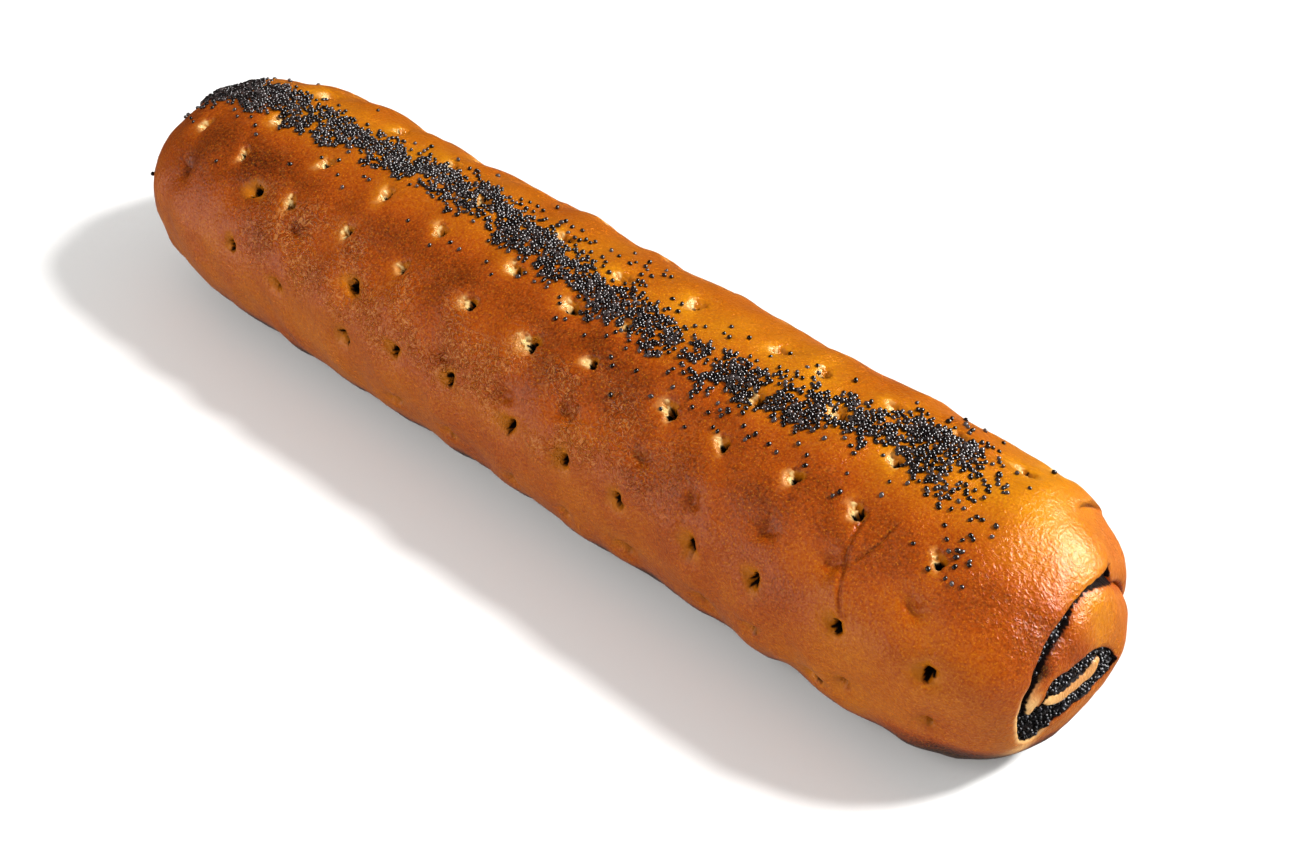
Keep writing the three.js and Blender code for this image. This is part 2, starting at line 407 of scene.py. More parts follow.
@dataclass(frozen=True)
class Swirl:
    """The spiral band of filling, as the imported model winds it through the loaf."""

    start: float = -38.0
    end: float = 512.0
    outer: Curl = Curl(0.8, 27.5, 22.4, 20.1, 0.0)
    inner: Curl = Curl(-4.0, 27.2, 12.4, 5.0, -8.0)
    turn_in: tuple[float, float] = (180.0, 270.0)
    outer_thickness: float = 1.5
    inner_thickness: float = 6.1
    edge_thickness: float = 0.6
    pocket: tuple[float, float, float] = (226.0, 21.0, 6.0)
    streak: tuple[float, float, float] = (120.0, 14.0, 0.9)
    end_taper: float = 26.0
    start_margin: float = 1.0
    end_margin: float = 8.0

    def inward(self, turn: Array) -> Array:
        """How far the spiral has come in from its outer turn, from 0 to 1."""
        return smooth(*self.turn_in, turn)

    def centre(self, turn: Array) -> Array:
        """Gives the band's middle line.

        Args:
            turn: Angles along the spiral, in degrees.

        Returns:
            One row of Y and Z each.
        """
        t, angle = self.inward(turn), np.radians(turn)
        curls = zip(astuple(self.outer), astuple(self.inner))
        y, z, half_width, half_height, lean = (blend(a, b, t) for a, b in curls)
        wide, high, lean = half_width * np.cos(angle), half_height * np.sin(angle), np.radians(lean)
        y = y + wide * np.cos(lean) - high * np.sin(lean)
        z = z + wide * np.sin(lean) + high * np.cos(lean)
        return np.stack([y, z], axis=-1)

    def thickness(self, turn: Array) -> Array:
        """The band's thickness at each angle along the spiral."""
        full = blend(self.outer_thickness, self.inner_thickness, self.inward(turn))
        for at, spread, gain in (self.pocket, self.streak):
            full = full + gain * bump(at, spread, turn)
        taper = smooth(self.start - self.start_margin, self.start + self.end_taper, turn)
        taper *= smooth(self.end + self.end_margin, self.end - self.end_taper, turn)
        return blend(self.edge_thickness, full, taper)

    def inwards(self, turn: Array) -> Array:
        """Unit directions across the band, towards the spiral's middle."""
        ahead = unit(self.centre(turn + 0.5) - self.centre(turn - 0.5))
        return np.stack([-ahead[:, 1], ahead[:, 0]], axis=-1)


@dataclass(frozen=True)
class Lip:
    """The rounded edge of a dough layer: how far in the rounding reaches, and how far it falls."""

    reach: float
    fall: float

    def drop(self, gap: Array) -> Array:
        """How far the edge has fallen at distances from the filling."""
        t = np.clip(1 - gap / self.reach, 0, 1)
        return self.fall * (1 - np.sqrt(np.clip(1 - t * t, 0, 1)))


@dataclass(frozen=True)
class BandReading:
    """What the swirl is like at many places: distance to the band's edge, angle and side."""

    distance: Array
    turn: Array
    inner_side: Array
    seam: Array


@dataclass(frozen=True)
class NearOutline:
    """Where the filling and the tongue of dough come out at the near end, as pairs of y and z."""

    wrap_side: tuple[tuple[float, float], ...] = (
        (13.5, 40.8), (14.2, 42.0), (14.1, 43.5), (12.8, 44.5), (9.9, 45.6), (6.8, 46.6),
        (3.7, 47.0), (1.2, 47.1), (-2.2, 46.9), (-4.9, 46.6), (-7.2, 46.2), (-10.2, 45.3),
        (-12.6, 44.2), (-14.9, 42.6), (-16.7, 41.0), (-18.6, 38.7), (-20.1, 36.7),
        (-21.3, 34.3), (-21.9, 31.7), (-21.8, 28.6), (-21.0, 24.2), (-19.8, 20.2),
        (-18.3, 18.4),
    )
    strip_side: tuple[tuple[float, float], ...] = (
        (-16.0, 17.3), (-14.8, 18.4), (-14.1, 19.7), (-12.6, 21.2), (-10.7, 21.8),
        (-8.0, 22.2), (-5.0, 22.3), (-2.5, 22.5), (0.5, 22.0), (3.6, 21.9), (6.2, 22.2),
        (7.7, 23.4), (8.0, 25.5), (7.0, 28.3), (5.5, 30.6), (3.5, 32.6), (0.4, 34.3),
        (-2.8, 35.2), (-5.9, 35.4), (-8.7, 35.5), (-11.2, 35.4), (-13.3, 35.4),
        (-14.8, 35.1), (-15.7, 33.8), (-16.1, 32.6), (-17.0, 31.4), (-17.9, 30.3),
        (-18.5, 28.8),
    )
    lobe_side: tuple[tuple[float, float], ...] = (
        (-19.0, 27.7), (-19.9, 29.2), (-20.4, 31.2), (-19.9, 33.2), (-18.9, 35.2),
        (-17.3, 37.1), (-16.1, 38.6), (-15.0, 40.0), (-13.8, 41.0), (-12.7, 41.7),
        (-11.0, 42.2), (-9.6, 42.9), (-7.8, 43.8), (-6.0, 44.6), (-4.5, 45.5),
        (-3.0, 46.2), (-1.4, 46.6), (0.4, 46.8), (2.6, 46.5), (5.0, 45.7), (7.3, 44.5),
        (9.6, 43.1), (11.8, 41.3),
    )
    tongue: tuple[tuple[float, float], ...] = (
        (-16.9, 31.2), (-15.8, 31.9), (-13.6, 31.5), (-11.2, 31.3), (-8.4, 31.3),
        (-5.4, 31.2), (-2.9, 31.4), (-0.4, 32.0), (1.9, 31.7), (1.2, 29.8), (-0.6, 28.4),
        (-3.3, 27.8), (-5.4, 27.6), (-8.6, 27.9), (-11.7, 28.4), (-14.0, 28.8), (-16.1, 30.0),
    )
    seam: tuple[tuple[float, float], ...] = (
        (13.2, 41.0), (14.2, 38.8), (16.2, 36.8), (18.9, 34.6), (21.6, 31.6), (23.4, 27.8),
        (23.6, 23.6), (22.2, 19.4), (19.9, 16.0),
    )
    seam_half: float = 0.25

    def filling_gap(self, places: Array) -> Array:
        """Distances to the filling's edge, below 0 where filling shows."""
        outline = rounded(self.wrap_side + self.strip_side + self.lobe_side, True)
        return np.maximum(edge_gap(places, outline, True), -self.tongue_gap(places))

    def tongue_gap(self, places: Array) -> Array:
        """Distances to the tongue's edge, below 0 on the tongue."""
        return edge_gap(places, rounded(self.tongue, True), True)

    def seam_gap(self, places: Array) -> Array:
        """Distances to the seam where the wrap and the lobe touch."""
        return edge_gap(places, rounded(self.seam, False), False) - self.seam_half

    def gap(self, places: Array) -> Array:
        """Distances to the nearest edge between layers, counting the touching seam as well."""
        return np.minimum(self.filling_gap(places), self.seam_gap(places))


@dataclass(frozen=True)
class SwirlFace:
    """How one end face is shaped where the layers of dough come out."""

    swirl: Swirl
    near: bool
    samples: int = 620
    outline: NearOutline = NearOutline()
    wrap_lip: Lip = Lip(2.4, 1.3)
    lobe_outer_lip: Lip = Lip(4.6, 1.6)
    lobe_inner_lip: Lip = Lip(3.0, 0.9)
    tongue_lip: Lip = Lip(1.3, 0.5)
    seam_lip: Lip = Lip(4.4, 2.4)
    wall_slope: float = 2.6
    groove: float = 5.5
    paste_recess: float = 0.25
    lobe: Spot = Spot(9.0, 27.0, 8.0, 8.5, 1.1)
    shoulder: Spot = Spot(21.0, 42.0, 8.0, 11.0, 4.8)
    open_gap: Spot = Spot(10.6, 44.2, 4.5, 3.0, 3.4)

    def read(self, y: Array, z: Array) -> BandReading:
        """Measures places in the end view against the band.

        Args:
            y: Sideways places.
            z: Heights.

        Returns:
            Distances to the band's edge, below 0 inside it, with the nearest angle and side.
        """
        turns = np.linspace(self.swirl.start, self.swirl.end, self.samples)
        middle = self.swirl.centre(turns)
        half = self.swirl.thickness(turns) / 2
        across = self.swirl.inwards(turns)
        places = np.stack([y, z], axis=-1)
        best = np.full(len(places), 1e9)
        nearest = np.zeros(len(places), dtype=int)
        for k in range(self.samples):
            gap = np.hypot(places[:, 0] - middle[k, 0], places[:, 1] - middle[k, 1]) - half[k]
            closer = gap < best
            best[closer] = gap[closer]
            nearest[closer] = k
        side = np.einsum("ij,ij->i", places - middle[nearest], across[nearest])
        seam = np.full(len(places), 1e9)
        if self.near:
            best = self.outline.gap(places)
            seam = self.outline.seam_gap(places)
        return BandReading(best, turns[nearest], side > 0, seam)

    def swell(self, y: Array, z: Array) -> Array:
        """How far the near end's lobe stands proud, and the wrap beside it falls back."""
        if not self.near:
            return np.zeros(len(y))
        return self.lobe.at(y, z) - self.shoulder.at(y, z)

    def drop(self, reading: BandReading) -> Array:
        """How far the dough falls back behind the plain end surface.

        Args:
            reading: The places measured against the band.

        Returns:
            Depths along X, in millimetres.
        """
        inward, inner, gap = self.swirl.inward(reading.turn), reading.inner_side, reading.distance
        at_outer = np.where(inner, self.lobe_outer_lip.drop(gap), self.wrap_lip.drop(gap))
        at_inner = np.where(inner, self.tongue_lip.drop(gap), self.lobe_inner_lip.drop(gap))
        wall = np.clip(-gap * self.wall_slope, 0, self.groove)
        edges = blend(at_outer, at_inner, inward)
        return np.maximum(edges, self.seam_lip.drop(reading.seam)) + wall

    def filling_drop(self, turn: Array, lane: Array) -> Array:
        """How far the filling's face lies behind the plain end surface.

        Args:
            turn: Angles along the spiral.
            lane: Places across the band, from -1 at its outer edge to 1 at its inner edge.

        Returns:
            Depths along X, in millimetres.
        """
        inward, across = self.swirl.inward(turn), (lane + 1) / 2
        outer = blend(self.wrap_lip.fall, self.lobe_inner_lip.fall, inward)
        inner = blend(self.lobe_outer_lip.fall, self.tongue_lip.fall, inward)
        return blend(outer, inner, across) + self.paste_recess


# ------------------------------------------------------------------ docking holes


class Prick(Enum):
    """How a docking hole came out of the oven."""

    TORN = "open, with torn pale walls"
    CLOSED = "a shallow closed dimple"
    HALO = "open, with an amber ring round a dark hole"
    NOTCH = "a brown dent low on the flank"


@dataclass(frozen=True)
class PrickShape:
    """The shape that one kind of docking hole took, in millimetres.

    The skin is drawn down in a wide dish, then falls into a bowl whose edge stands up a
    little, and a narrow pit leads on down from the bowl's floor.
    """

    dish: float
    bowl_radius: float
    bowl_depth: float
    edge: float
    rim: float
    pit_radius: float
    pit_depth: float
    pit_shift: float

    def depth(self, u: Array, v: Array, size: float, dice: np.random.Generator) -> "HoleDepth":
        """Works out one hole's depth.

        Args:
            u: Places along the loaf from the hole's middle.
            v: Places round the loaf from the hole's middle.
            size: How large this hole is beside the usual one.
            dice: The hole's own source of chance.

        Returns:
            Its depth, how far each place is from the bowl's and the pit's middle, and how far it
            lies towards the key light, which sets where light is painted on torn walls.
        """
        angle = np.arctan2(v, u)
        wobble = 1 + 0.2 * np.cos(2 * (angle - dice.uniform(0, math.pi)))
        wobble += 0.1 * np.cos(3 * angle + dice.uniform(0, 6))
        wobble += 0.06 * np.cos(5 * angle + dice.uniform(0, 6))
        bowl = np.hypot(u, v) / (self.bowl_radius * size * wobble)
        shift, drift = self.pit_shift * size, dice.uniform(0.2, 0.8)
        angle = np.arctan2(v - drift, u - shift)
        wobble = 1 + 0.22 * np.cos(2 * (angle - dice.uniform(0.6, 2.2)))
        wobble += 0.14 * np.cos(3 * angle + dice.uniform(0, 6))
        pit = np.hypot(u - shift, v - drift) / (self.pit_radius * size * wobble)
        depth = self.dish * np.exp(-((bowl / 1.8) ** 2))
        depth += self.bowl_depth * size / (1 + np.clip(bowl, 0, 9) ** self.edge)
        depth += self.pit_depth / (1 + np.clip(pit, 0, 9) ** 6)
        depth -= self.rim * bump(1.35, 0.28, bowl)
        return HoleDepth(depth, bowl, pit, (0.78 * u - 0.62 * v) / (self.bowl_radius * size))


@dataclass(frozen=True)
class HoleDepth:
    """One hole's depth at each place, with distances in bowl radii and in pit radii, and the offset
    towards the key light in bowl radii that places the painted lit wall.
    """

    depth: Array
    bowl: Array
    pit: Array
    towards: Array


PRICK_SHAPES = {
    Prick.TORN: PrickShape(0.45, 1.9, 1.5, 3.6, 0.2, 0.9, 4.0, 0.55),
    Prick.CLOSED: PrickShape(0.8, 1.9, 1.4, 2.6, 0.0, 0.6, 0.0, 0.0),
    Prick.HALO: PrickShape(0.7, 2.0, 1.5, 2.6, 0.1, 1.0, 4.0, 0.5),
    Prick.NOTCH: PrickShape(0.7, 1.7, 1.4, 2.4, 0.0, 0.7, 1.0, 0.4),
}


@dataclass(frozen=True)
class Hole:
    """One docking hole: where it is, what it looks like and how large it came out."""

    x: float
    turn: float
    prick: Prick
    size: float
    seed: int
    shown: bool

    @property
    def open(self) -> bool:
        """True when the hole stayed open in the oven."""
        return self.prick in (Prick.TORN, Prick.HALO)


@dataclass(frozen=True)
class Docking:
    """The docking holes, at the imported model's places.

    A row that shows is a list of places, each its x and its turn in degrees. A row on the
    far side keeps the usual stations.
    """

    shown_rows: tuple[tuple[tuple[float, float], ...], ...] = (
        ((-108, 65), (-81, 60), (-58, 66), (-37, 82), (-12, 75), (10, 79), (29, 71), (54, 70),
         (67, 71), (86, 69), (102, 66), (118, 61)),
        ((-106, 96), (-81, 105), (-58, 104), (-37, 106), (-12, 104), (8, 106), (23, 101),
         (62, 101), (79, 88), (97, 94)),
        ((-126, 117), (-105, 121), (-94, 134), (-81, 130), (-60, 128), (-39, 129), (-15, 128),
         (6, 129), (23, 123), (47, 123), (63, 124), (82, 121), (98, 120), (119, 120)),
        ((-121, 143), (-75, 142), (-50, 150), (-15, 158), (6, 158), (24, 147), (47, 148),
         (64, 152), (83, 146), (100, 143), (120, 142)),
        ((-95, 168), (-77, 178), (-51, 182), (-31, 170), (-12, 167), (9, 172), (27, 172),
         (44, 177), (66, 175), (84, 171), (106, 167), (128, 165)),
        ((-33, 198), (-13, 197), (9, 200), (27, 200), (45, 200), (69, 200), (85, 193),
         (101, 202), (109, 194), (130, 191)),
    )
    shown_pricks: tuple[Prick, ...] = (
        Prick.TORN, Prick.TORN, Prick.TORN, Prick.CLOSED, Prick.HALO, Prick.NOTCH,
    )
    open_at: tuple[float, ...] = (-94, -50, 101)
    stations: tuple[float, ...] = (-105, -81, -59, -38, -14, 7, 25, 47, 64, 84, 101, 120)
    far_rows: tuple[float, ...] = (36, 14, -8)
    far_pricks: tuple[Prick, ...] = (Prick.TORN, Prick.CLOSED, Prick.NOTCH)
    jitter: float = 1.6
    turn_draw: int = 50
    size_spread: float = 0.14
    first_far_row: int = 10

    def holes(self) -> list[Hole]:
        """Lists every hole, row by row."""
        found = []
        for row, places in enumerate(self.shown_rows):
            for n, (x, turn) in enumerate(places):
                prick = Prick.HALO if x in self.open_at else self.shown_pricks[row]
                found.append(self.hole(x, turn, prick, n, row))
        for row, row_turn in enumerate(self.far_rows):
            for n, station in enumerate(self.stations):
                x = station + self.jitter * scatter(n, row)
                turn = row_turn + self.jitter * scatter(n + self.turn_draw, row)
                found.append(self.hole(x, turn, self.far_pricks[row], n, self.first_far_row + row))
        return found

    def hole(self, x: float, turn: float, prick: Prick, n: int, row: int) -> Hole:
        """Sizes one hole, with a little chance in it."""
        size = 1 + self.size_spread * scatter(n + 9, row + 20)
        shown = row < self.first_far_row
        return Hole(x, math.radians(turn), prick, size, 1000 * row + n, shown)


# ------------------------------------------------------------------ finishes


class Finish:
    """A material being built: its node tree, with the nodes that every finish uses."""

    def __init__(self, name: str) -> None:
        """Starts an empty material.

        Args:
            name: The real material's name.
        """
        self.material = bpy.data.materials.new(name)
        self.material.use_nodes = True
        self.tree = self.material.node_tree
        self.tree.nodes.clear()
        self.place = add_node(self.tree, "ShaderNodeTexCoord").outputs["Object"]

    def look(self, name: str) -> bpy.types.NodeSocket:
        """Reads one of the piece's own attributes."""
        return add_node(self.tree, "ShaderNodeAttribute", attribute_name=name).outputs["Fac"]

    def noise(self, size_mm: float, detail: float, **more: float) -> bpy.types.NodeSocket:
        """Adds a noise whose grains are about that many millimetres wide."""
        inputs = {"Vector": self.place, "Scale": 1 / (size_mm * MM), "Detail": detail, **more}
        return add_node(self.tree, "ShaderNodeTexNoise", inputs).outputs["Fac"]

    def maths(self, operation: str, *values: object) -> bpy.types.NodeSocket:
        """Adds one maths node."""
        return maths(self.tree, operation, *values)

    def ranged(self, value: object, **bounds: float) -> bpy.types.NodeSocket:
        """Maps a value to another range, with bounds such as From_Min."""
        named = {key.replace("_", " "): bound for key, bound in bounds.items()}
        return add_node(self.tree, "ShaderNodeMapRange", {"Value": value, **named}).outputs[0]

    def ramp(self, value: object, *stops: tuple[float, str]) -> bpy.types.NodeSocket:
        """Turns a value into a colour along a ramp."""
        made = add_node(self.tree, "ShaderNodeValToRGB", {"Fac": value}, list(stops))
        return made.outputs["Color"]

    def tinted(self, factor: object, under: object, tint: str) -> bpy.types.NodeSocket:
        """Lays a colour over another."""
        inputs = {"Factor": factor, 6: under, 7: linear(tint)}
        return add_node(self.tree, "ShaderNodeMix", inputs, data_type="RGBA").outputs[2]

    def bumped(self, strength: float, distance_mm: float, height: object) -> bpy.types.NodeSocket:
        """Turns a height into a fine relief."""
        inputs = {"Strength": strength, "Distance": distance_mm * MM, "Height": height}
        return add_node(self.tree, "ShaderNodeBump", inputs).outputs["Normal"]

    def done(self, **inputs: object) -> bpy.types.Material:
        """Closes the tree with its shader, with inputs such as Base_Color.

        Returns:
            The finished material.
        """
        named = {key.replace("_", " "): value for key, value in inputs.items()}
        shader = add_node(self.tree, "ShaderNodeBsdfPrincipled", named)
        add_node(self.tree, "ShaderNodeOutputMaterial", {"Surface": shader.outputs[0]})
        return self.material


@dataclass(frozen=True)
class EggWashedCrust:
    """Milk-bread crust brushed with egg: a thin satin glaze over browned, finely wrinkled skin."""

    golden: str = "BC7400"
    amber: str = "A45600"
    brown: str = "8E3A00"
    dark: str = "551D00"
    burnt: str = "2E1002"
    crumb: str = "D9B87A"
    rim: str = "D9A868"
    halo: str = "A65F08"
    poppy: str = "0F0A09"
    # glint: the colour of painted highlight specks.
    glint: str = "E09210"
    # crease: the colour of a painted sheen along the wrinkle lines.
    crease: str = "D29A58"
    roughness: float = 0.37
    refraction: float = 1.4
    shine: float = 0.36
    painted_shine: float = 0.03
    mottle: float = 0.08
    freckle: float = 0.12
    speckle: float = 0.5
    glint_share: float = 0.3
    wrinkle_sheen_share: float = 0.4
    grain_mm: float = 1.1
    wrinkle_mm: float = 1.7
    wrinkle_height: float = 6.0
    relief_mm: float = 0.27

    def material(self) -> bpy.types.Material:
        """Builds the node tree."""
        made = Finish("egg_washed_crust")
        wrinkle, poppy = made.look("wrinkle"), made.look("poppy")
        tone = made.maths("MULTIPLY_ADD", made.noise(16, 3.0), self.mottle, made.look("bake"))
        tone = made.maths("MULTIPLY_ADD", made.noise(1.6, 4.0), self.freckle, tone)
        tone = made.maths("MULTIPLY_ADD", made.noise(0.55, 3.0), self.speckle, tone)
        tone = made.maths("SUBTRACT", tone, self.speckle / 2)
        colour = made.ramp(
            tone,
            (0.3, self.golden),
            (0.5, self.amber),
            (0.7, self.brown),
            (0.92, self.dark),
            (1.0, self.burnt),
        )
        # Glints: golden specks laid into the colour, a painted highlight standing in for the
        # glaze's sparkle.
        glints = made.ranged(
            made.noise(0.45, 2.0), From_Min=0.58, From_Max=0.74, To_Max=self.glint_share
        )
        # The wrinkle lines are painted paler in the crease colour: a painted sheen standing in for
        # light caught by the wrinkles.
        ridged = made.noise(self.wrinkle_mm, 1.0, Distortion=1.2)
        folds = made.maths("ABSOLUTE", made.maths("ADD", ridged, -0.5))
        painted_wrinkle_sheen = made.ranged(folds, From_Min=0.045, From_Max=0.0, To_Max=self.wrinkle_sheen_share)
        for factor, tint in (
            (glints, self.glint),
            (made.maths("MULTIPLY", painted_wrinkle_sheen, wrinkle), self.crease),
            (made.look("halo"), self.halo),
            (made.look("rim"), self.rim),
            (made.look("crumb"), self.crumb),
            (poppy, self.poppy),
        ):
            colour = made.tinted(factor, colour, tint)
        wrinkles = made.maths("MULTIPLY", folds, wrinkle)
        grain = made.noise(self.grain_mm, 1.5)
        relief = made.maths("MULTIPLY_ADD", wrinkles, self.wrinkle_height, grain)
        return made.done(
            Base_Color=colour,
            Roughness=self.roughness,
            IOR=self.refraction,
            Specular_IOR_Level=made.ranged(poppy, To_Min=self.shine, To_Max=self.painted_shine),
            Normal=made.bumped(1.0, self.relief_mm, relief),
        )


@dataclass(frozen=True)
class PoppyPaste:
    """Ground poppy seed filling: near-black moist paste with grains that catch the light."""

    dark: str = "070505"
    light: str = "18110F"
    roughness: float = 0.6
    shine: float = 0.12

    def material(self) -> bpy.types.Material:
        """Builds the node tree."""
        made = Finish("poppy_paste")
        grain = made.noise(0.9, 4.0)
        return made.done(
            Base_Color=made.ramp(grain, (0.35, self.dark), (0.75, self.light)),
            Roughness=self.roughness,
            Specular_IOR_Level=self.shine,
            Normal=made.bumped(0.7, 0.3, grain),
        )


@dataclass(frozen=True)
class PoppySeedCoat:
    """Whole blue poppy seeds: brown-black to slate and plum grey, with a small bright shine."""

    name: str = "poppy_seed_coat"
    tones: tuple[str, ...] = ("070505", "16100F", "2A211F", "4C4342")
    roughness: float = 0.2

    def material(self) -> bpy.types.Material:
        """Builds the node tree."""
        made = Finish(self.name)
        return made.done(
            Base_Color=made.ramp(made.look("tone"), *zip((0.0, 0.4, 0.75, 1.0), self.tones)),
            Roughness=self.roughness,
            Normal=made.bumped(0.3, 0.05, made.noise(0.25, 2.0)),
        )


# ------------------------------------------------------------------ the crust


@dataclass(frozen=True)
class Crease:
    """A fold in the skin: places along it as x and turn, with its depth and half width."""

    places: tuple[tuple[float, float], ...]
    depth: float
    half_width: float

    def middles(self, form: LoafForm) -> Array:
        """Walks along the fold in short steps on the plain surface."""
        path = rounded(self.places, False)
        steps = np.linspace(0, len(path) - 1, 8 * len(path))
        x = np.interp(steps, np.arange(len(path)), path[:, 0])
        turn = np.radians(np.interp(steps, np.arange(len(path)), path[:, 1]))
        return form.surface(x, turn)


CREASES = (
    Crease(((100.3, 121.5), (101.0, 134.0), (103.5, 147.0), (107.0, 161.0)), 0.4, 0.5),
    Crease(((107.0, 118.0), (106.5, 127.0), (104.0, 137.0)), 0.2, 0.4),
    Crease(((26.8, 142.5), (26.4, 154.5)), 0.28, 0.36),
)


@dataclass(frozen=True)
class Patch:
    """A patch of crust that browned more or less, or is painted darker as shade: its edges along
    the loaf and round it.
    """

    gain: float
    along: tuple[float, float]
    around: tuple[float, float]

    def at(self, x: Array, turn: Array) -> Array:
        """Gives the patch's share of the browning at each place."""
        return self.gain * smooth(*self.along, x) * smooth(*self.around, turn)


@dataclass
class Crust:
    """The loaf's whole baked skin, with its holes and both swirl faces."""

    form: LoafForm
    docking: Docking
    swirl: Swirl
    quads_per_quarter: int = 32
    end_reach: float = 27.0
    row_pitch: float = 1.65
    slack: float = 1e-3
    fold_margin: float = 1.0
    hole_zones: tuple[float, ...] = (3.2, 2.2, 0.0, 0.0)
    open_hole_zones: tuple[float, ...] = (3.6, 2.9, 2.1, 0.0)
    near_band_zones: tuple[float, ...] = (6.5, 2.1, 0.85, 0.38)
    far_band_zones: tuple[float, ...] = (3.0, 1.2, 0.0, 0.0)
    bake_round: tuple[tuple[float, float], ...] = (
        (-90, 0.5), (-20, 0.48), (20, 0.48), (55, 0.42), (80, 0.37), (106, 0.54), (124, 0.7),
        (140, 0.67), (160, 0.58), (182, 0.53), (200, 0.52), (215, 0.5), (270, 0.5),
    )
    bake_and_shade_patches: tuple[Patch, ...] = (
        Patch(-0.16, (98, 122), (140, 108)),
        Patch(-0.06, (86, 112), (132, 150)),
        # Painted shade: the near cap's outer end is baked darker, standing in for less light there.
        Patch(0.1, (126, 140), (140, 115)),
    )
    quilt_height: float = 0.32
    quilt_pitch: float = 20.0
    quilt_start: float = 4.0
    end_depth: float = 18.0
    hole_reach: float = 8.0
    crease_reach: float = 12.0
    middle_height: float = 30.0
    bared_tip: Spot = Spot(-19.6, 31.5, 2.2, 3.0)
    bared_strip: Spot = Spot(-18.5, 15.6, 3.2, 2.2, 0.8)
    stain: Spot = Spot(-16.5, 38.6, 3.2, 2.2, 0.36)
    piece: bpy.types.Object | None = field(default=None, init=False)

    def template(self) -> tuple[Array, list]:
        """Makes the skin on a plain drum: rows of quads round the side, a grid on each end.

        Returns:
            Vertices (path length, and two drum coordinates of radius 1 on the side), faces.
        """
        n = self.quads_per_quarter
        around = 4 * n
        path, _, _ = self.form.profile()
        low, high = self.end_reach, path[-1] - self.end_reach
        rows = int(round((high - low) / self.row_pitch))
        angle = np.radians(-45 + 360 * np.arange(around) / around)
        ring = np.stack([np.cos(angle), np.sin(angle)], axis=-1)
        points, faces = [], []
        for i in range(rows + 1):
            station = low + (high - low) * i / rows
            points += [(station, b, c) for b, c in ring]
        for i in range(rows):
            for k in range(around):
                a, b = i * around + k, i * around + (k + 1) % around
                faces.append((a, b, b + around, a + around))
        edge = np.linspace(-1, 1, n + 1)
        for station, flip in ((low, True), (high, False)):
            start = len(points)
            for b in edge:
                for a in edge:
                    points.append((station, *self.disc(a, b)))
            for j in range(n):
                for i in range(n):
                    q = start + j * (n + 1) + i
                    quad = (q, q + 1, q + n + 2, q + n + 1)
                    faces.append(quad[::-1] if flip else quad)
        return self.weld(np.array(points), faces)

    @staticmethod
    def disc(a: float, b: float) -> tuple[float, float]:
        """Maps a place in a square to the disc, so that squares become circles."""
        radius = max(abs(a), abs(b))
        if radius == 0:
            return (0.0, 0.0)
        if abs(a) >= abs(b):
            angle = math.pi / 4 * (b / a) + (math.pi if a < 0 else 0)
        else:
            angle = math.pi / 2 - math.pi / 4 * (a / b) + (math.pi if b < 0 else 0)
        return (radius * math.cos(angle), radius * math.sin(angle))

    @staticmethod
    def weld(points: Array, faces: list) -> tuple[Array, list]:
        """Makes vertices at the same place one."""
        _, first, number = np.unique(
            np.round(points, 6), axis=0, return_index=True, return_inverse=True
        )
        number = number.reshape(-1)
        return points[first], [tuple(int(number[v]) for v in face) for face in faces]

    def coordinates(self, drum: Array) -> tuple[Array, Array, Array]:
        """Turns drum places into the loaf's own coordinates.

        Args:
            drum: Template vertices.

        Returns:
            The x, the section's share and the turn of each.
        """
        path, x, share = self.form.profile()
        radius = np.hypot(drum[:, 1], drum[:, 2])
        at = drum[:, 0].copy()
        far = at <= self.end_reach + self.slack
        near = at >= path[-1] - self.end_reach - self.slack
        at[far] = np.minimum(radius[far], 1) * self.end_reach
        at[near] = path[-1] - np.minimum(radius[near], 1) * self.end_reach
        turn = np.arctan2(drum[:, 2], drum[:, 1])
        return np.interp(at, path, x), np.interp(at, path, share), turn

    def refine(self, points: Array, faces: list) -> bmesh.types.BMesh:
        """Splits the quads near holes and swirls, up to four times, to be shaped finely."""
        skin = bmesh.new()
        corners = [skin.verts.new(p) for p in points]
        for face in faces:
            skin.faces.new([corners[v] for v in face])
        holes = self.hole_frames()[0]
        folds = np.concatenate([crease.middles(self.form)[::3] for crease in CREASES])
        is_open = np.array([hole.open and hole.shown for hole in self.docking.holes()])
        zones = zip(
            self.hole_zones, self.open_hole_zones, self.near_band_zones, self.far_band_zones
        )
        for hole_zone, open_zone, near_zone, far_zone in zones:
            skin.verts.index_update()
            skin.faces.ensure_lookup_table()
            drum = np.array([v.co for v in skin.verts])
            places = self.form.section(*self.coordinates(drum))
            middles = np.array([np.mean([places[v.index] for v in f.verts], 0) for f in skin.faces])
            close = self.near_holes(middles, holes, hole_zone)
            close |= self.near_holes(middles, holes[is_open], open_zone)
            close |= self.near_holes(middles, folds, max(open_zone - self.fold_margin, 0))
            close |= self.near_band(middles, True, near_zone)
            close |= self.near_band(middles, False, far_zone)
            edges = {e for i in np.nonzero(close)[0] for e in skin.faces[int(i)].edges}
            bmesh.ops.subdivide_edges(skin, edges=list(edges), cuts=1, use_grid_fill=True)
        return skin

    @staticmethod
    def near_holes(places: Array, holes: Array, zone: float) -> Array:
        """Marks the places within a distance of any hole."""
        found = np.zeros(len(places), dtype=bool)
        for hole in holes:
            found |= np.sum((places - hole) ** 2, axis=1) < zone * zone
        return found

    def near_band(self, places: Array, near: bool, zone: float) -> Array:
        """Marks the places on one end face within a distance of the edges of the swirl's band."""
        found = np.zeros(len(places), dtype=bool)
        there = self.at_end(places, 1 if near else -1)
        reading = SwirlFace(self.swirl, near).read(places[there, 1], places[there, 2])
        found[there] = np.abs(reading.distance) < zone
        return found

    def at_end(self, places: Array, side: int) -> Array:
        """Numbers of the places on one end face: side 1 for +X, or -1."""
        return np.nonzero(side * places[:, 0] > self.form.length / 2 - self.end_depth)[0]

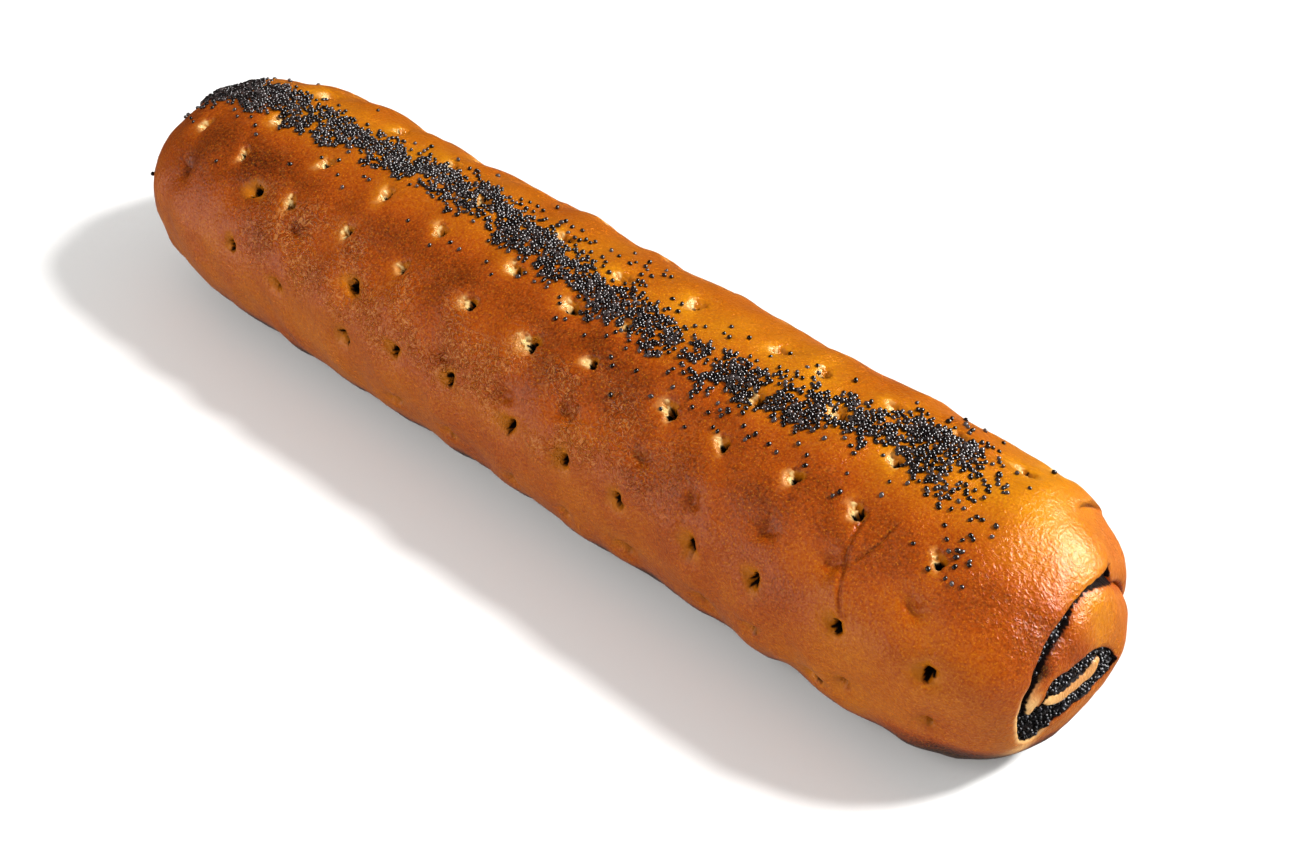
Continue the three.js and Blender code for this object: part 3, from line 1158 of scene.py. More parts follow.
    def hole_frames(self) -> tuple[Array, Array, Array, Array]:
        """Places each hole on the plain surface.

        Returns:
            Middles, outward normals, directions along the loaf and directions round it.
        """
        x, turn = (np.array(c) for c in zip(*((h.x, h.turn) for h in self.docking.holes())))
        surface, step, swing = self.form.surface, 0.05, 0.01
        middle = surface(x, turn)
        along = unit(surface(x + step, turn) - surface(x - step, turn))
        around = unit(surface(x, turn + swing) - surface(x, turn - swing))
        return middle, np.cross(around, along), along, around

    def build(self) -> bpy.types.Object:
        """Builds the skin and the attributes that its finish reads.

        Returns:
            The finished piece.
        """
        skin = self.refine(*self.template())
        mesh = bpy.data.meshes.new("crust")
        skin.to_mesh(mesh)
        skin.free()
        drum = np.empty(len(mesh.vertices) * 3)
        mesh.vertices.foreach_get("co", drum)
        x, share, turn = self.coordinates(drum.reshape(-1, 3))
        plain = self.form.section(x, share, turn)
        outward = self.normals(mesh, plain)
        looks = {
            name: np.zeros(len(plain))
            for name in ("bake", "crumb", "poppy", "halo", "rim", "wrinkle")
        }
        shaped = plain + outward * self.relief(plain, share)[:, None]
        shaped = self.press_holes(plain, shaped, looks)
        shaped = self.fold_creases(plain, shaped, outward, looks)
        shaped = self.shape_ends(plain, shaped, looks)
        looks["bake"] += self.browning(plain, outward)
        looks["wrinkle"] = self.wrinkling(plain)
        shaped[:, 2] = np.maximum(shaped[:, 2], 0.0)
        mesh.vertices.foreach_set("co", (shaped * MM).ravel())
        for name, values in looks.items():
            store(mesh, name, values)
        mesh.update()
        mesh.shade_smooth()
        self.piece = link_object("crust", mesh)
        return self.piece

    @staticmethod
    def normals(mesh: bpy.types.Mesh, places: Array) -> Array:
        """Puts the mesh's vertices at the given places and reads their normals."""
        mesh.vertices.foreach_set("co", places.ravel())
        mesh.update()
        flat = np.empty(len(places) * 3)
        mesh.vertex_normals.foreach_get("vector", flat)
        return flat.reshape(-1, 3)

    def relief(self, places: Array, share: Array) -> Array:
        """The soft unevenness of a hand-rolled loaf, as heights along the normal."""
        steps = (places[:, 0] - self.quilt_start) / self.quilt_pitch
        quilt = self.quilt_height * np.cos(2 * math.pi * steps)
        swells = 0.34 * Ripples(34, 3).at(places) + 0.16 * Ripples(13, 4).at(places)
        lumps = 0.05 * Ripples(5.5, 5).at(places)
        off_base = smooth(0.5, 8, places[:, 2])
        return (quilt * smooth(0.5, 1, share) + swells + lumps) * off_base

    def press_holes(self, plain: Array, shaped: Array, looks: dict) -> Array:
        """Presses the docking holes into the skin and marks their torn walls and floors."""
        ragged = Ripples(1.1, 17).at(plain)
        for hole, middle, normal, along, around in zip(self.docking.holes(), *self.hole_frames()):
            close = np.nonzero(self.near_holes(plain, [middle], self.hole_reach))[0]
            off = plain[close] - middle
            dice = np.random.default_rng(hole.seed)
            shape = PRICK_SHAPES[hole.prick].depth(off @ along, off @ around, hole.size, dice)
            torn = smooth(1.5, 1.0, shape.bowl) * (hole.prick is Prick.TORN)
            depth = shape.depth + 0.2 * torn * ragged[close]
            shaped[close] -= normal * depth[:, None]
            self.mark_hole(hole, close, shape, ragged[close], looks)
        return shaped

    def fold_creases(self, plain: Array, shaped: Array, outward: Array, looks: dict) -> Array:
        """Draws the skin in along its few creases, and paints a little shade into each fold."""
        for crease in CREASES:
            middles = crease.middles(self.form)
            off = np.abs(plain[:, 0] - middles[:, 0].mean())
            near = np.nonzero(off < self.crease_reach)[0]
            gap = np.full(len(near), 1e9)
            for middle in middles:
                gap = np.minimum(gap, np.sum((plain[near] - middle) ** 2, axis=1))
            gap = np.sqrt(gap)
            fold = bump(0, crease.half_width, gap)
            lip = 0.35 * bump(2.2 * crease.half_width, crease.half_width, gap)
            shaped[near] -= outward[near] * (crease.depth * (fold - lip))[:, None]
            # Painted shade: the fold's colour is baked a little darker.
            looks["bake"][near] += 0.1 * fold
        return shaped

    @staticmethod
    def mark_hole(
        hole: Hole, close: Array, shape: HoleDepth, ragged: Array, looks: dict
    ) -> None:
        """Writes one hole's torn walls, dark pit and browned or amber surround, with painted light
        and shade on torn walls and in the pit.
        """

        def paint(look: str, values: Array) -> None:
            """Lays values over a look where they are stronger."""
            looks[look][close] = np.maximum(looks[look][close], values)

        if hole.prick is Prick.TORN:
            # Painted light and shade: the cream crumb, the pale rim and the lighter bake go mostly
            # on the wall that faces the key light, and the far wall keeps the amber halo colour.
            lit = smooth(-0.05, -0.55, shape.towards + 0.12 * ragged)
            paint("halo", 0.9 * smooth(1.2, 0.85, shape.bowl))
            paint("crumb", smooth(1.02, 0.8, shape.bowl + 0.2 * ragged) * lit)
            paint("rim", 0.4 * bump(1.15, 0.3, shape.bowl) * lit)
            # The pit is painted paste-black higher up its dough walls than the paste lies: partly
            # the filling's own colour, partly painted shade in the hole.
            paint("poppy", smooth(1.5, 1.2, shape.pit + 0.2 * ragged))
            looks["bake"][close] -= 0.24 * bump(0, 2.1, shape.bowl) * (0.3 + lit)
        elif hole.prick is Prick.HALO:
            paint("halo", 0.8 * smooth(2.0, 0.7, shape.bowl))
            # The black pit is partly the filling's own colour, partly painted shade in the hole.
            paint("poppy", smooth(1.5, 1.2, shape.pit + 0.2 * ragged))
        elif hole.prick is Prick.NOTCH:
            paint("halo", 0.6 * smooth(1.8, 0.6, shape.bowl))
            looks["bake"][close] += 0.5 * bump(0, 1.6, shape.pit)
        else:
            looks["bake"][close] += 0.05 * bump(0, 1.2, shape.bowl)

    def shape_ends(self, plain: Array, shaped: Array, looks: dict) -> Array:
        """Rounds the dough layers over at both ends and sinks the groove for the filling."""
        for near in (True, False):
            side = 1 if near else -1
            there = self.at_end(plain, side)
            y, z = plain[there, 1], plain[there, 2]
            wander = 0.09 * Ripples(4, 8 + near).at(plain[there])
            face = SwirlFace(self.swirl, near)
            reading = face.read(y + wander, z - wander)
            shaped[there, 0] += side * (face.swell(y, z) - face.drop(reading))
            low_edge = smooth(142, 178, reading.turn) * smooth(240, 218, reading.turn)
            rim = smooth(1.5, 0.3, reading.distance) * low_edge
            grainy = 0.05 * Ripples(1.1, 19).at(plain[there])
            filling_gap = reading.distance
            if near:
                filling_gap = face.outline.filling_gap(np.stack([y + wander, z - wander], -1))
                tongue_gap = face.outline.tongue_gap(np.stack([y, z], -1))
                paler = 0.45 + 0.45 * smooth(-10, -15, y)
                # under marks the crust just below the filling's lower edge, which is baked darker
                # as painted shade under the filling.
                under = smooth(3.2, 1.6, filling_gap) * smooth(24, 21, z) * smooth(-14, -10, y)
                rim = np.maximum(rim, self.bared_tip.at(y, z) * reading.inner_side)
                rim = np.maximum(rim, paler * smooth(0.5, 0.1, tongue_gap))
                rim = np.maximum(rim, self.bared_strip.at(y, z))
                looks["bake"][there] += self.stain.at(y, z) * reading.inner_side + 0.08 * under
            poppy = smooth(0.24, 0.08, filling_gap + grainy)
            looks["poppy"][there] = np.maximum(looks["poppy"][there], poppy)
            looks["rim"][there] = np.clip(rim, 0, 1)
            looks["bake"][there] += 0.16 * smooth(0.9, 0.1, reading.distance)
        return shaped

    def turn_of(self, places: Array) -> Array:
        """Gives each place's turn in degrees, from -90 to 270."""
        turn = np.degrees(np.arctan2(places[:, 2] - self.middle_height, places[:, 1]))
        return np.where(turn < -90, turn + 360, turn)

    def browning(self, places: Array, outward: Array) -> Array:
        """How deeply each place is baked: most just below the seeds, least on the crown, with
        painted shade on the near cap's end.
        """
        x, turn, up = places[:, 0], self.turn_of(places), outward[:, 2]
        bake = np.interp(turn, *zip(*self.bake_round))
        bake += 0.03 * Ripples(40, 11).at(places) + 0.02 * Ripples(14, 12).at(places)
        bake += 0.5 * smooth(-0.42, -0.62, up)
        bake += 0.4 * smooth(-0.2, -0.4, up) * smooth(110, 130, x)
        return bake + sum(patch.at(x, turn) for patch in self.bake_and_shade_patches)

    def wrinkling(self, places: Array) -> Array:
        """Where the skin has shrunk into fine wrinkles, which the finish also paints with a sheen:
        the middle of the -Y flank.
        """
        x, turn = places[:, 0], self.turn_of(places)
        shown = smooth(122, 142, turn) * smooth(178, 160, turn)
        along = smooth(-100, -75, x) * smooth(70, 25, x)
        patches = smooth(-1.2, 0.6, Ripples(16, 47).at(places))
        return np.maximum(0.15 + 0.85 * shown * along * patches, 0.12 * smooth(112, 128, x))

    def dress(self) -> None:
        """Gives the skin its finish and puts it in the dough's place."""
        self.piece.data.materials.append(EggWashedCrust().material())
        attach(self.piece, "root")
        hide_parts("dough_roll")


# ------------------------------------------------------------------ the filling


@dataclass
class Filling:
    """The poppy paste that runs through the loaf, with a grainy face at both ends."""

    form: LoafForm
    swirl: Swirl
    along_pitch: float = 0.36
    across_cells: int = 16
    bury: float = 0.35
    body_stations: tuple[float, ...] = (-120, -60, 0, 60, 120)
    cell: float = 0.3
    slab: float = 7.0
    slab_y: tuple[float, float] = (-24.0, 13.0)
    slab_z: tuple[float, float] = (17.5, 49.5)
    recess: float = 6.0
    outer_sunk: float = 2.0
    inner_sunk: float = 0.95
    crowning: float = 0.7
    piece: bpy.types.Object | None = field(default=None, init=False)

    def face(self, near: bool) -> Array:
        """Lays the band's end face out as rows along the spiral and cells across it."""
        turns = self.turns()
        middle, across = self.swirl.centre(turns), self.swirl.inwards(turns)
        half = self.swirl.thickness(turns) / 2 + self.bury
        lanes = np.linspace(-1, 1, self.across_cells + 1)
        flat = middle[:, None, :] + across[:, None, :] * (half[:, None] * lanes)[..., None]
        flat = flat.reshape(-1, 2)
        x = self.form.end_x(flat[:, 0], flat[:, 1], near)
        points = np.stack([x, flat[:, 0], flat[:, 1]], axis=-1)
        if near:
            points[:, 0] = np.minimum(x - self.recess, self.form.length / 2 - self.recess)
            return points
        lane = np.tile(lanes, len(turns))
        sunk = SwirlFace(self.swirl, near).filling_drop(np.repeat(turns, len(lanes)), lane)
        points[:, 0] -= self.grains(points) - sunk - self.crowning * lane**4
        return points

    @staticmethod
    def grains(points: Array) -> Array:
        """The paste's own grainy relief."""
        return 0.15 * np.abs(Ripples(1.5, 31).at(points)) + 0.2 * Ripples(5, 32).at(points)

    def near_slab(self) -> tuple[Array, list, Array]:
        """Lays the near end's paste as a closed slab with a grainy face, cut to its outline.

        Returns:
            Vertices, faces, and 1 for each vertex of the face that shows.
        """
        end = SwirlFace(self.swirl, True)
        y, z = np.meshgrid(np.arange(*self.slab_y, self.cell), np.arange(*self.slab_z, self.cell))
        columns, rows = y.shape[1], y.shape[0]
        flat = np.stack([y.ravel(), z.ravel()], axis=-1)
        gap = end.outline.filling_gap(flat)
        kept = (gap < self.bury).reshape(rows, columns)
        whole = kept[:-1, :-1] & kept[1:, :-1] & kept[:-1, 1:] & kept[1:, 1:]
        quads = []
        for j, i in np.argwhere(whole):
            q = int(j * columns + i)
            quads.append((q, q + 1, q + columns + 1, q + columns))
        used, number = np.unique(np.array(quads), return_inverse=True)
        quads = [tuple(int(v) for v in quad) for quad in number.reshape(-1, 4)]
        flat, gap, count = flat[used], gap[used], len(used)
        reading = end.read(flat[:, 0], flat[:, 1])
        inward = self.swirl.inward(reading.turn)
        x = self.form.end_x(flat[:, 0], flat[:, 1], True)
        front = np.column_stack([x, flat])
        sunk = blend(self.outer_sunk, self.inner_sunk, inward)
        sunk += end.open_gap.at(flat[:, 0], flat[:, 1])
        sunk += 0.5 * smooth(-0.7, 0.1, gap) - end.swell(flat[:, 0], flat[:, 1])
        front[:, 0] += self.grains(front) - sunk
        back = front.copy()
        back[:, 0] = front[:, 0].min() - self.slab
        edges = {(quad[k], quad[(k + 1) % 4]) for quad in quads for k in range(4)}
        faces = list(quads)
        faces += [tuple(v + count for v in quad[::-1]) for quad in quads]
        faces += [
            (b, a, a + count, b + count) for a, b in sorted(edges) if (b, a) not in edges
        ]
        shows = np.concatenate([smooth(-0.1, -0.3, gap), np.zeros(count)])
        return np.concatenate([front, back]), faces, shows

    @staticmethod
    def rim(rows: int, lanes: int) -> list[int]:
        """Walks round the edge of a grid of vertices."""
        last = (rows - 1) * lanes
        return (
            list(range(lanes))
            + [i * lanes + lanes - 1 for i in range(1, rows)]
            + [last + j for j in range(lanes - 2, -1, -1)]
            + [i * lanes for i in range(rows - 2, 0, -1)]
        )

    def turns(self) -> Array:
        """Angles along the spiral, spaced evenly along the band's middle line."""
        fine = np.linspace(self.swirl.start, self.swirl.end, 3000)
        steps = np.linalg.norm(np.diff(self.swirl.centre(fine), axis=0), axis=1)
        walked = np.concatenate([[0], np.cumsum(steps)])
        count = int(walked[-1] / self.along_pitch)
        return np.interp(np.linspace(0, walked[-1], count), walked, fine)

    def build(self) -> bpy.types.Object:
        """Builds the band as one closed body from end face to end face.

        Returns:
            The finished piece.
        """
        lanes, rows = self.across_cells + 1, len(self.turns())
        near, far = self.face(True), self.face(False)
        cells = rows * lanes
        faces = []
        for i in range(rows - 1):
            for j in range(lanes - 1):
                q = i * lanes + j
                quad = (q, q + lanes, q + lanes + 1, q + 1)
                faces += [quad, tuple(cells + v for v in quad[::-1])]
        rim = self.rim(rows, lanes)
        points = [near, far]
        loops = [[cells + v for v in rim]]
        for station in self.body_stations:
            loops.append([2 * cells + (len(loops) - 1) * len(rim) + k for k in range(len(rim))])
            ring = near[rim].copy()
            ring[:, 0] = station
            points.append(ring)
        loops.append(rim)
        for a, b in zip(loops, loops[1:]):
            for k in range(len(rim)):
                n = (k + 1) % len(rim)
                faces.append((a[k], a[n], b[n], b[k]))
        body = sum(len(group) for group in points)
        slab, slab_faces, shows = self.near_slab()
        faces += [tuple(body + v for v in face) for face in slab_faces]
        everything = np.concatenate(points + [slab])
        at_end = np.zeros(len(everything))
        lane = np.tile(np.linspace(-1, 1, lanes), rows)
        at_end[cells : 2 * cells] = np.abs(lane) < 0.8
        at_end[body:] = shows
        self.piece = mesh_object("poppy_filling_body", everything, faces, {"face": at_end})
        return self.piece

    def dress(self) -> None:
        """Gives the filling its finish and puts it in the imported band's place."""
        self.piece.data.materials.append(PoppyPaste().material())
        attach(self.piece, "root")
        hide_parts("poppy_filling")


# ------------------------------------------------------------------ the poppy seeds


def one_seed(size: float) -> bpy.types.Object:
    """Models one poppy seed: a small kidney with a dent on its inner side.

    Args:
        size: Its usual size in millimetres.

    Returns:
        The seed, a few dozen faces.
    """
    around, rings, half_sizes = 6, 3, (0.56, 0.47, 0.42)
    points = [(0, 0, -1)]
    for i in range(1, rings + 1):
        tilt = math.pi * i / (rings + 1)
        wide = math.sin(tilt)
        for k in range(around):
            angle = 2 * math.pi * k / around
            points.append((wide * math.cos(angle), wide * math.sin(angle), -math.cos(tilt)))
    points.append((0, 0, 1))
    shape = np.array(points)
    shape[:, 1] -= 0.34 * np.exp(-((shape[:, 1] - 1) ** 2) / 0.25 - shape[:, 0] ** 2 / 0.3)
    shape *= np.array(half_sizes) * size
    faces = []
    last, top = len(points) - 1, 1 + (rings - 1) * around
    for k in range(around):
        n = (k + 1) % around
        faces += [(0, 1 + n, 1 + k), (last, top + k, top + n)]
        for i in range(rings - 1):
            a = 1 + i * around
            faces.append((a + k, a + n, a + around + n, a + around + k))
    return mesh_object("one_seed", shape, faces)


def strewing_tree() -> bpy.types.NodeTree:
    """Builds the node tree that strews instances of one seed over a surface."""
    tree = bpy.data.node_groups.new("strew_seeds", "GeometryNodeTree")
    for name, kind in (
        ("Geometry", "Geometry"), ("Seed", "Object"), ("Spacing", "Float"),
        ("Most Per Area", "Float"), ("Bed Depth", "Float"), ("Random Seed", "Int"),
        ("Finish", "Material"),
    ):
        tree.interface.new_socket(name, in_out="INPUT", socket_type=f"NodeSocket{kind}")
    tree.interface.new_socket("Geometry", in_out="OUTPUT", socket_type="NodeSocketGeometry")

    def node(kind: str, inputs: dict, **settings: str) -> bpy.types.NodeOutputs:
        """Adds one geometry node and gives its outputs."""
        return add_node(tree, f"GeometryNode{kind}", inputs, **settings).outputs

    def chance(low: float, high: float, draw: int) -> bpy.types.NodeSocket:
        """Adds a random number between two bounds."""
        inputs = {2: low, 3: high, "Seed": draw}
        return add_node(tree, "FunctionNodeRandomValue", inputs, data_type="FLOAT").outputs[1]

    given = add_node(tree, "NodeGroupInput").outputs
    density = node("InputNamedAttribute", {"Name": "seed_density"}, data_type="FLOAT")
    spots = node(
        "DistributePointsOnFaces",
        {
            "Mesh": given["Geometry"],
            "Distance Min": given["Spacing"],
            "Density Max": given["Most Per Area"],
            "Density Factor": density["Attribute"],
            "Seed": given["Random Seed"],
        },
        distribute_method="POISSON",
    )
    height = maths(tree, "MULTIPLY", chance(0.1, 1.0, 11), given["Bed Depth"])
    lift = {0: spots["Normal"], "Scale": height}
    offset = add_node(tree, "ShaderNodeVectorMath", lift, operation="SCALE").outputs[0]
    bedded = node("SetPosition", {"Geometry": spots["Points"], "Offset": offset})
    source = node("ObjectInfo", {"Object": given["Seed"]})
    lean = {0: (-0.5, -0.5, -math.pi), 1: (0.5, 0.5, math.pi), "Seed": 12}
    spin = add_node(tree, "FunctionNodeRandomValue", lean, data_type="FLOAT_VECTOR")
    turned = add_node(
        tree,
        "FunctionNodeRotateRotation",
        {"Rotation": spots["Rotation"], "Rotate By": spin.outputs[0]},
        rotation_space="LOCAL",
    )
    placed = node(
        "InstanceOnPoints",
        {
            "Points": bedded["Geometry"],
            "Instance": source["Geometry"],
            "Rotation": turned.outputs["Rotation"],
            "Scale": chance(0.8, 1.14, 13),
        },
    )
    toned = node(
        "StoreNamedAttribute",
        {"Geometry": placed["Instances"], "Name": "tone", "Value": chance(0.0, 1.0, 14)},
        data_type="FLOAT",
        domain="INSTANCE",
    )
    solid = node("RealizeInstances", {"Geometry": toned[0]})
    dressed = node("SetMaterial", {"Geometry": solid[0], "Material": given["Finish"]})
    add_node(tree, "NodeGroupOutput", {"Geometry": dressed[0]})
    return tree


def run_nodes(
    name: str, carrier: bpy.types.Object, tree: bpy.types.NodeTree, inputs: dict[str, object]
) -> bpy.types.Object:
    """Runs a node tree on a carrier mesh and keeps its result as a plain mesh.

    Args:
        name: The new piece's name.
        carrier: The object whose mesh the tree starts from; it is removed afterwards.
        tree: The geometry node tree.
        inputs: Values for the tree's named inputs.

    Returns:
        The new piece, at the origin and without modifiers.
    """
    modifier = carrier.modifiers.new(name, "NODES")
    modifier.node_group = tree
    for socket in tree.interface.items_tree:
        if socket.in_out == "INPUT" and socket.name in inputs:
            modifier[socket.identifier] = inputs[socket.name]
    graph = bpy.context.evaluated_depsgraph_get()
    mesh = bpy.data.meshes.new_from_object(carrier.evaluated_get(graph))
    mesh.name = name
    mesh.shade_smooth()
    made = link_object(name, mesh)
    bpy.data.objects.remove(carrier)
    return made


@dataclass(frozen=True)
class Strewing:
    """How one kind of seed is strewn: its name, sizes in millimetres, draw and coat."""

    name: str
    seed_size: float
    spacing: float
    per_square_mm: float
    bed_depth: float
    draw: int
    coat: PoppySeedCoat

    def over(self, host: bpy.types.Mesh, density: Array) -> bpy.types.Object:
        """Strews the seeds over a copy of a mesh.

        Args:
            host: The mesh that the seeds lie on.
            density: How thickly each of its vertices is strewn, from 0 to 1.

        Returns:
            All the seeds as one plain mesh.
        """
        ground = host.copy()
        store(ground, "seed_density", density)
        one = one_seed(self.seed_size)
        inputs = {
            "Seed": one,
            "Spacing": self.spacing * MM,
            "Most Per Area": self.per_square_mm / (MM * MM),
            "Bed Depth": self.bed_depth * MM,
            "Random Seed": self.draw,
            "Finish": self.coat.material(),
        }
        made = run_nodes(self.name, link_object("carrier", ground), strewing_tree(), inputs)
        bpy.data.objects.remove(one)
        return made


@dataclass
class SeedBand:
    """The loose poppy seeds: a thick uneven band along the crown, and strays beside it."""

    crust: Crust
    strewing: Strewing = Strewing("poppy_seeds", 1.28, 0.7, 5.0, 0.5, 7, PoppySeedCoat())
    middle_line: tuple[tuple[float, float, float], ...] = (
        (-148, 0, 9.5), (-131, -1.2, 9.2), (-115, -0.7, 7), (-103, -0.3, 7.5), (-90, -2.2, 6.4),
        (-73, -3.7, 6.6), (-56, -4.9, 6.8), (-40, -5.3, 6.8), (-23, -1.6, 6.8), (-6, 0, 6.2),
        (10, 2.2, 6.2), (27, 5, 6.8), (40, 4.7, 5.8), (54, 5.3, 6.8), (70, 1.7, 7.2),
        (85, -2.4, 7.6), (94, -6.2, 8), (102, -7, 9), (110, -3.3, 9.6), (119, -2, 8.6),
    )
    bare: tuple[tuple[float, float, float, float], ...] = (
        (-37, -4.5, 2.6, 2.0), (-5.5, -3, 1.6, 1.6), (37.3, 5, 1.3, 6), (46.5, 5, 1.5, 6),
        (62, 4.5, 1.6, 5), (78.7, -2, 1.8, 2.0), (97, 2, 1.8, 1.5),
    )
    strays: tuple[tuple[float, ...], ...] = (
        (0.09, -15, 36, -11, 6), (0.07, 52, 34, 14, 5), (0.12, 103, 10, -19, 5),
    )
    piece: bpy.types.Object | None = field(default=None, init=False)

    def density(self, places: Array, normals: Array) -> Array:
        """How thickly each place is strewn, from 0 to 1.

        Args:
            places: Crust vertices.
            normals: Their outward normals.

        Returns:
            One share each.
        """
        stations, middles, halves = (np.array(c) for c in zip(*self.middle_line))
        x, across = places[:, 0], self.across(places)
        middle = np.interp(x, stations, middles)
        half = np.interp(x, stations, halves)
        fray = 1.1 * Ripples(9, 41).at(places) + 0.8 * Ripples(3.5, 42).at(places)
        off = np.abs(across - middle) + fray
        core = smooth(half + 0.8, half - 2.2, off)
        patches = Ripples(9, 43).at(places, (1.2, 0.8, 1)) + 0.6 * Ripples(4, 44).at(places)
        core *= 0.5 + 0.5 * smooth(-1.6, -0.3, patches)
        for at, side, long, wide in self.bare:
            core *= 1 - 0.9 * np.exp(-(((x - at) / long) ** 4) - ((across - side) / wide) ** 4)
        core *= 1 - 0.72 * smooth(103, 116, x)
        stray = 0.05 * np.exp(-(((across - middle) / (half + 6)) ** 2))
        above = middle - half - across
        loose = np.exp(-np.maximum(above, 0) / 2.6) * smooth(-3, 0, above)
        stray += 0.16 * loose * (bump(-35, 52, x) + 1.2 * bump(103, 13, x))
        for share, at, long, side, wide in self.strays:
            stray += share * bump(at, long, x) * bump(side, wide, across)
        trail = 0.5 * bump(121, 2.6, x) * bump(13, 8, across)
        ends = smooth(125, 113, x + 0.12 * np.abs(across - middle) + fray)
        strewn = np.maximum((core + stray) * ends, trail)
        return np.clip(strewn, 0, 1) * smooth(0.1, 0.35, normals[:, 2])

    @staticmethod
    def across(places: Array) -> Array:
        """Distances round the crust from the crown's middle, growing towards -Y."""
        y = -places[:, 1]
        return y * (1 + 0.22 * (np.abs(y) / 32) ** 2)

    def build(self) -> bpy.types.Object:
        """Strews the seeds over the crust with Geometry Nodes.

        Returns:
            All the seeds as one plain mesh.
        """
        host = self.crust.piece.data
        flat = np.empty(len(host.vertices) * 3)
        host.vertices.foreach_get("co", flat)
        places = flat.reshape(-1, 3) / MM
        host.vertex_normals.foreach_get("vector", flat)
        density = self.density(places, flat.reshape(-1, 3))
        free = 1 - stored(host, "poppy") - stored(host, "crumb") - stored(host, "halo")
        self.piece = self.strewing.over(host, density * np.clip(free, 0, 1))
        return self.piece

    def dress(self) -> None:
        """Lets the seeds ride on the loaf."""
        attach(self.piece, "root")


@dataclass
class FillingGrains:
    """The poppy seeds left whole in the paste, where the filling shows at both ends."""

    filling: Filling
    strewing: Strewing = Strewing(
        "filling_grains", 1.1, 0.75, 1.5, 0.1, 3,
        PoppySeedCoat("moist_poppy_grain", ("040304", "0A0809", "121013", "26252B"), 0.36),
    )
    piece: bpy.types.Object | None = field(default=None, init=False)

    def build(self) -> bpy.types.Object:
        """Strews the grains over the paste's two end faces.

        Returns:
            All the grains as one plain mesh.
        """
        host = self.filling.piece.data
        self.piece = self.strewing.over(host, stored(host, "face"))
        return self.piece

    def dress(self) -> None:
        """Lets the grains ride on the loaf."""
        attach(self.piece, "root")


# ------------------------------------------------------------------ the studio


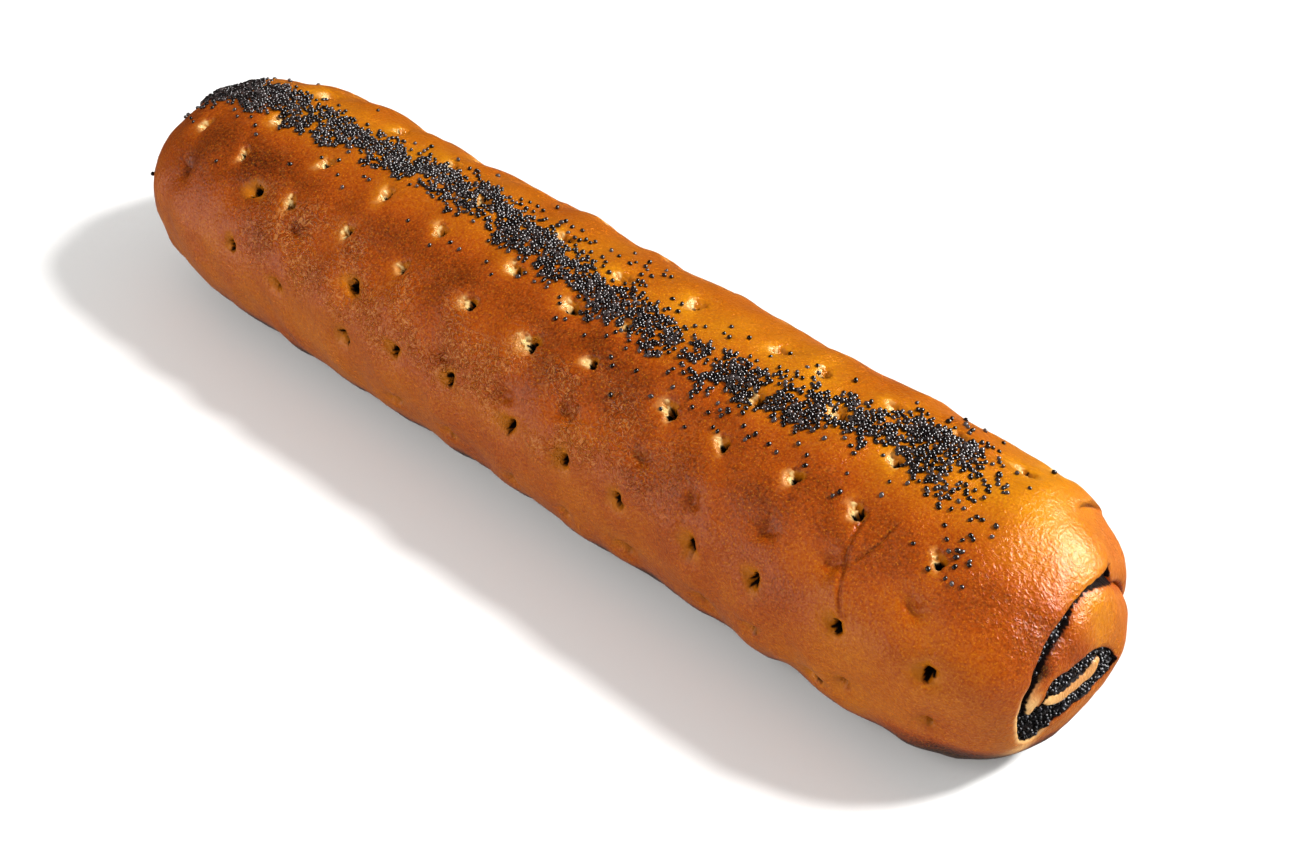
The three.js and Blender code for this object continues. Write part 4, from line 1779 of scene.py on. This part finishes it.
@dataclass(frozen=True)
class Studio:
    """A pale floor, soft light from the right and the camera at the photograph's angle."""

    azimuth: float = 41.74
    elevation: float = 42.5
    target: tuple[float, float, float] = (31.45, -8.25, 30.0)
    distance: float = 423.5
    lens_mm: float = 48.65
    key_way: tuple[float, float, float] = (0.82, 0.62, 1.14)
    lamp_distance: float = 1.6
    key_size: float = 0.26
    key_power: float = 32.0
    fill_way: tuple[float, float, float] = (-0.15, -0.8, 0.58)
    fill_size: float = 1.4
    fill_power: float = 15.0
    sky: float = 0.6
    mirrored_sky: float = 0.02
    cards: tuple[tuple[tuple[float, float, float], float, float, float], ...] = (
        ((-0.6, -0.79, 0.03), 3.0, 0.84, 0.98),
        ((0.52, 0.7, 0.48), 52.0, 0.9, 0.99),
        ((0.0, 0.0, -1.0), 0.2, 0.1, 0.6),
    )
    floor_colour: str = "F4F3F1"
    floor_half_mm: float = 2500.0
    floor_drop_mm: float = 0.02
    floor_roughness: float = 0.7
    sensor_mm: float = 36.0
    clip_m: tuple[float, float] = (0.01, 20.0)

    def build(self) -> None:
        """Sets the floor, the lights and the camera."""
        self.floor()
        self.lights()
        self.camera()
        bpy.context.scene.view_settings.view_transform = "Standard"

    def floor(self) -> None:
        """Lays the pale floor just under the base."""
        signs = ((-1, -1), (1, -1), (1, 1), (-1, 1))
        half, low = self.floor_half_mm, -self.floor_drop_mm
        corners = np.array([(a * half, b * half, low) for a, b in signs])
        made = mesh_object("floor", corners, [(0, 1, 2, 3)])
        material = bpy.data.materials.new("pale_floor")
        material.use_nodes = True
        shader = material.node_tree.nodes["Principled BSDF"]
        shader.inputs["Base Color"].default_value = linear(self.floor_colour)
        shader.inputs["Roughness"].default_value = self.floor_roughness
        made.data.materials.append(material)
        made.visible_glossy = False

    def lights(self) -> None:
        """Hangs the key light and a softer fill, and lights the room evenly."""
        for lamp in (
            self.lamp("key", self.key_way, self.key_size, self.key_power),
            self.lamp("fill", self.fill_way, self.fill_size, self.fill_power),
        ):
            lamp.visible_glossy = False
        bpy.context.scene.world = self.room()

    def room(self) -> bpy.types.World:
        """Makes the room: even white light, but dark in the crust's gloss save for a few cards."""
        world = bpy.data.worlds.new("studio")
        world.use_nodes = True
        tree = world.node_tree
        tree.nodes.clear()
        away = add_node(tree, "ShaderNodeNewGeometry").outputs["Incoming"]
        mirrored = self.mirrored_sky
        for card_way, card_strength, outer, inner in self.cards:
            towards_card = add_node(
                tree,
                "ShaderNodeVectorMath",
                {0: away, 1: -Vector(card_way).normalized()},
                operation="DOT_PRODUCT",
            ).outputs["Value"]
            bounds = {"From Min": outer, "From Max": inner, "To Max": card_strength}
            card = add_node(
                tree,
                "ShaderNodeMapRange",
                {"Value": towards_card, **bounds},
                interpolation_type="SMOOTHSTEP",
            ).outputs[0]
            mirrored = maths(tree, "ADD", mirrored, card)
        glossy = add_node(tree, "ShaderNodeLightPath").outputs["Is Glossy Ray"]
        levels = {"Factor": glossy, 2: self.sky, 3: mirrored}
        strength = add_node(tree, "ShaderNodeMix", levels, data_type="FLOAT").outputs[0]
        sky = add_node(tree, "ShaderNodeBackground", {"Strength": strength})
        add_node(tree, "ShaderNodeOutputWorld", {"Surface": sky.outputs[0]})
        return world

    def lamp(
        self, name: str, towards: tuple[float, float, float], size: float, power: float
    ) -> bpy.types.Object:
        """Hangs one round softbox.

        Args:
            name: The lamp's name.
            towards: The direction from the loaf to the lamp.
            size: Its diameter in metres.
            power: Its power in watts.

        Returns:
            The lamp's object.
        """
        way = Vector(towards).normalized()
        light = bpy.data.lights.new(name, "AREA")
        light.shape = "DISK"
        light.size = size
        light.energy = power
        made = link_object(name, light)
        self.aim(made, way, way * self.lamp_distance)
        return made

    @staticmethod
    def aim(made: bpy.types.Object, back: Vector, at: Vector) -> None:
        """Stands a lamp or camera at a place in metres, with its back to a direction."""
        made.location = at
        made.rotation_mode = "QUATERNION"
        made.rotation_quaternion = back.to_track_quat("Z", "Y")

    def camera(self) -> None:
        """Sets the camera where the photograph was taken from."""
        turn, lift = math.radians(self.azimuth), math.radians(self.elevation)
        back = Vector(
            (math.sin(turn) * math.cos(lift), -math.cos(turn) * math.cos(lift), math.sin(lift))
        )
        data = bpy.data.cameras.new("camera")
        data.lens = self.lens_mm
        data.sensor_width = self.sensor_mm
        data.clip_start, data.clip_end = self.clip_m
        made = link_object("camera", data)
        self.aim(made, back, (Vector(self.target) + back * self.distance) * MM)
        bpy.context.scene.camera = made


# ------------------------------------------------------------------ assembly


def main() -> None:
    """Builds the loaf piece by piece and reports each one."""
    logging.basicConfig(level=logging.INFO, format="%(name)s: %(message)s")
    Studio().build()
    form, swirl = LoafForm(), Swirl()
    crust, filling = Crust(form, Docking(), swirl), Filling(form, swirl)
    for part in (crust, filling, FillingGrains(filling), SeedBand(crust)):
        piece = part.build()
        part.dress()
        piece.data.calc_loop_triangles()
        LOG.info("%s: %d triangles", piece.name, len(piece.data.loop_triangles))


if __name__ == "__main__":
    main()
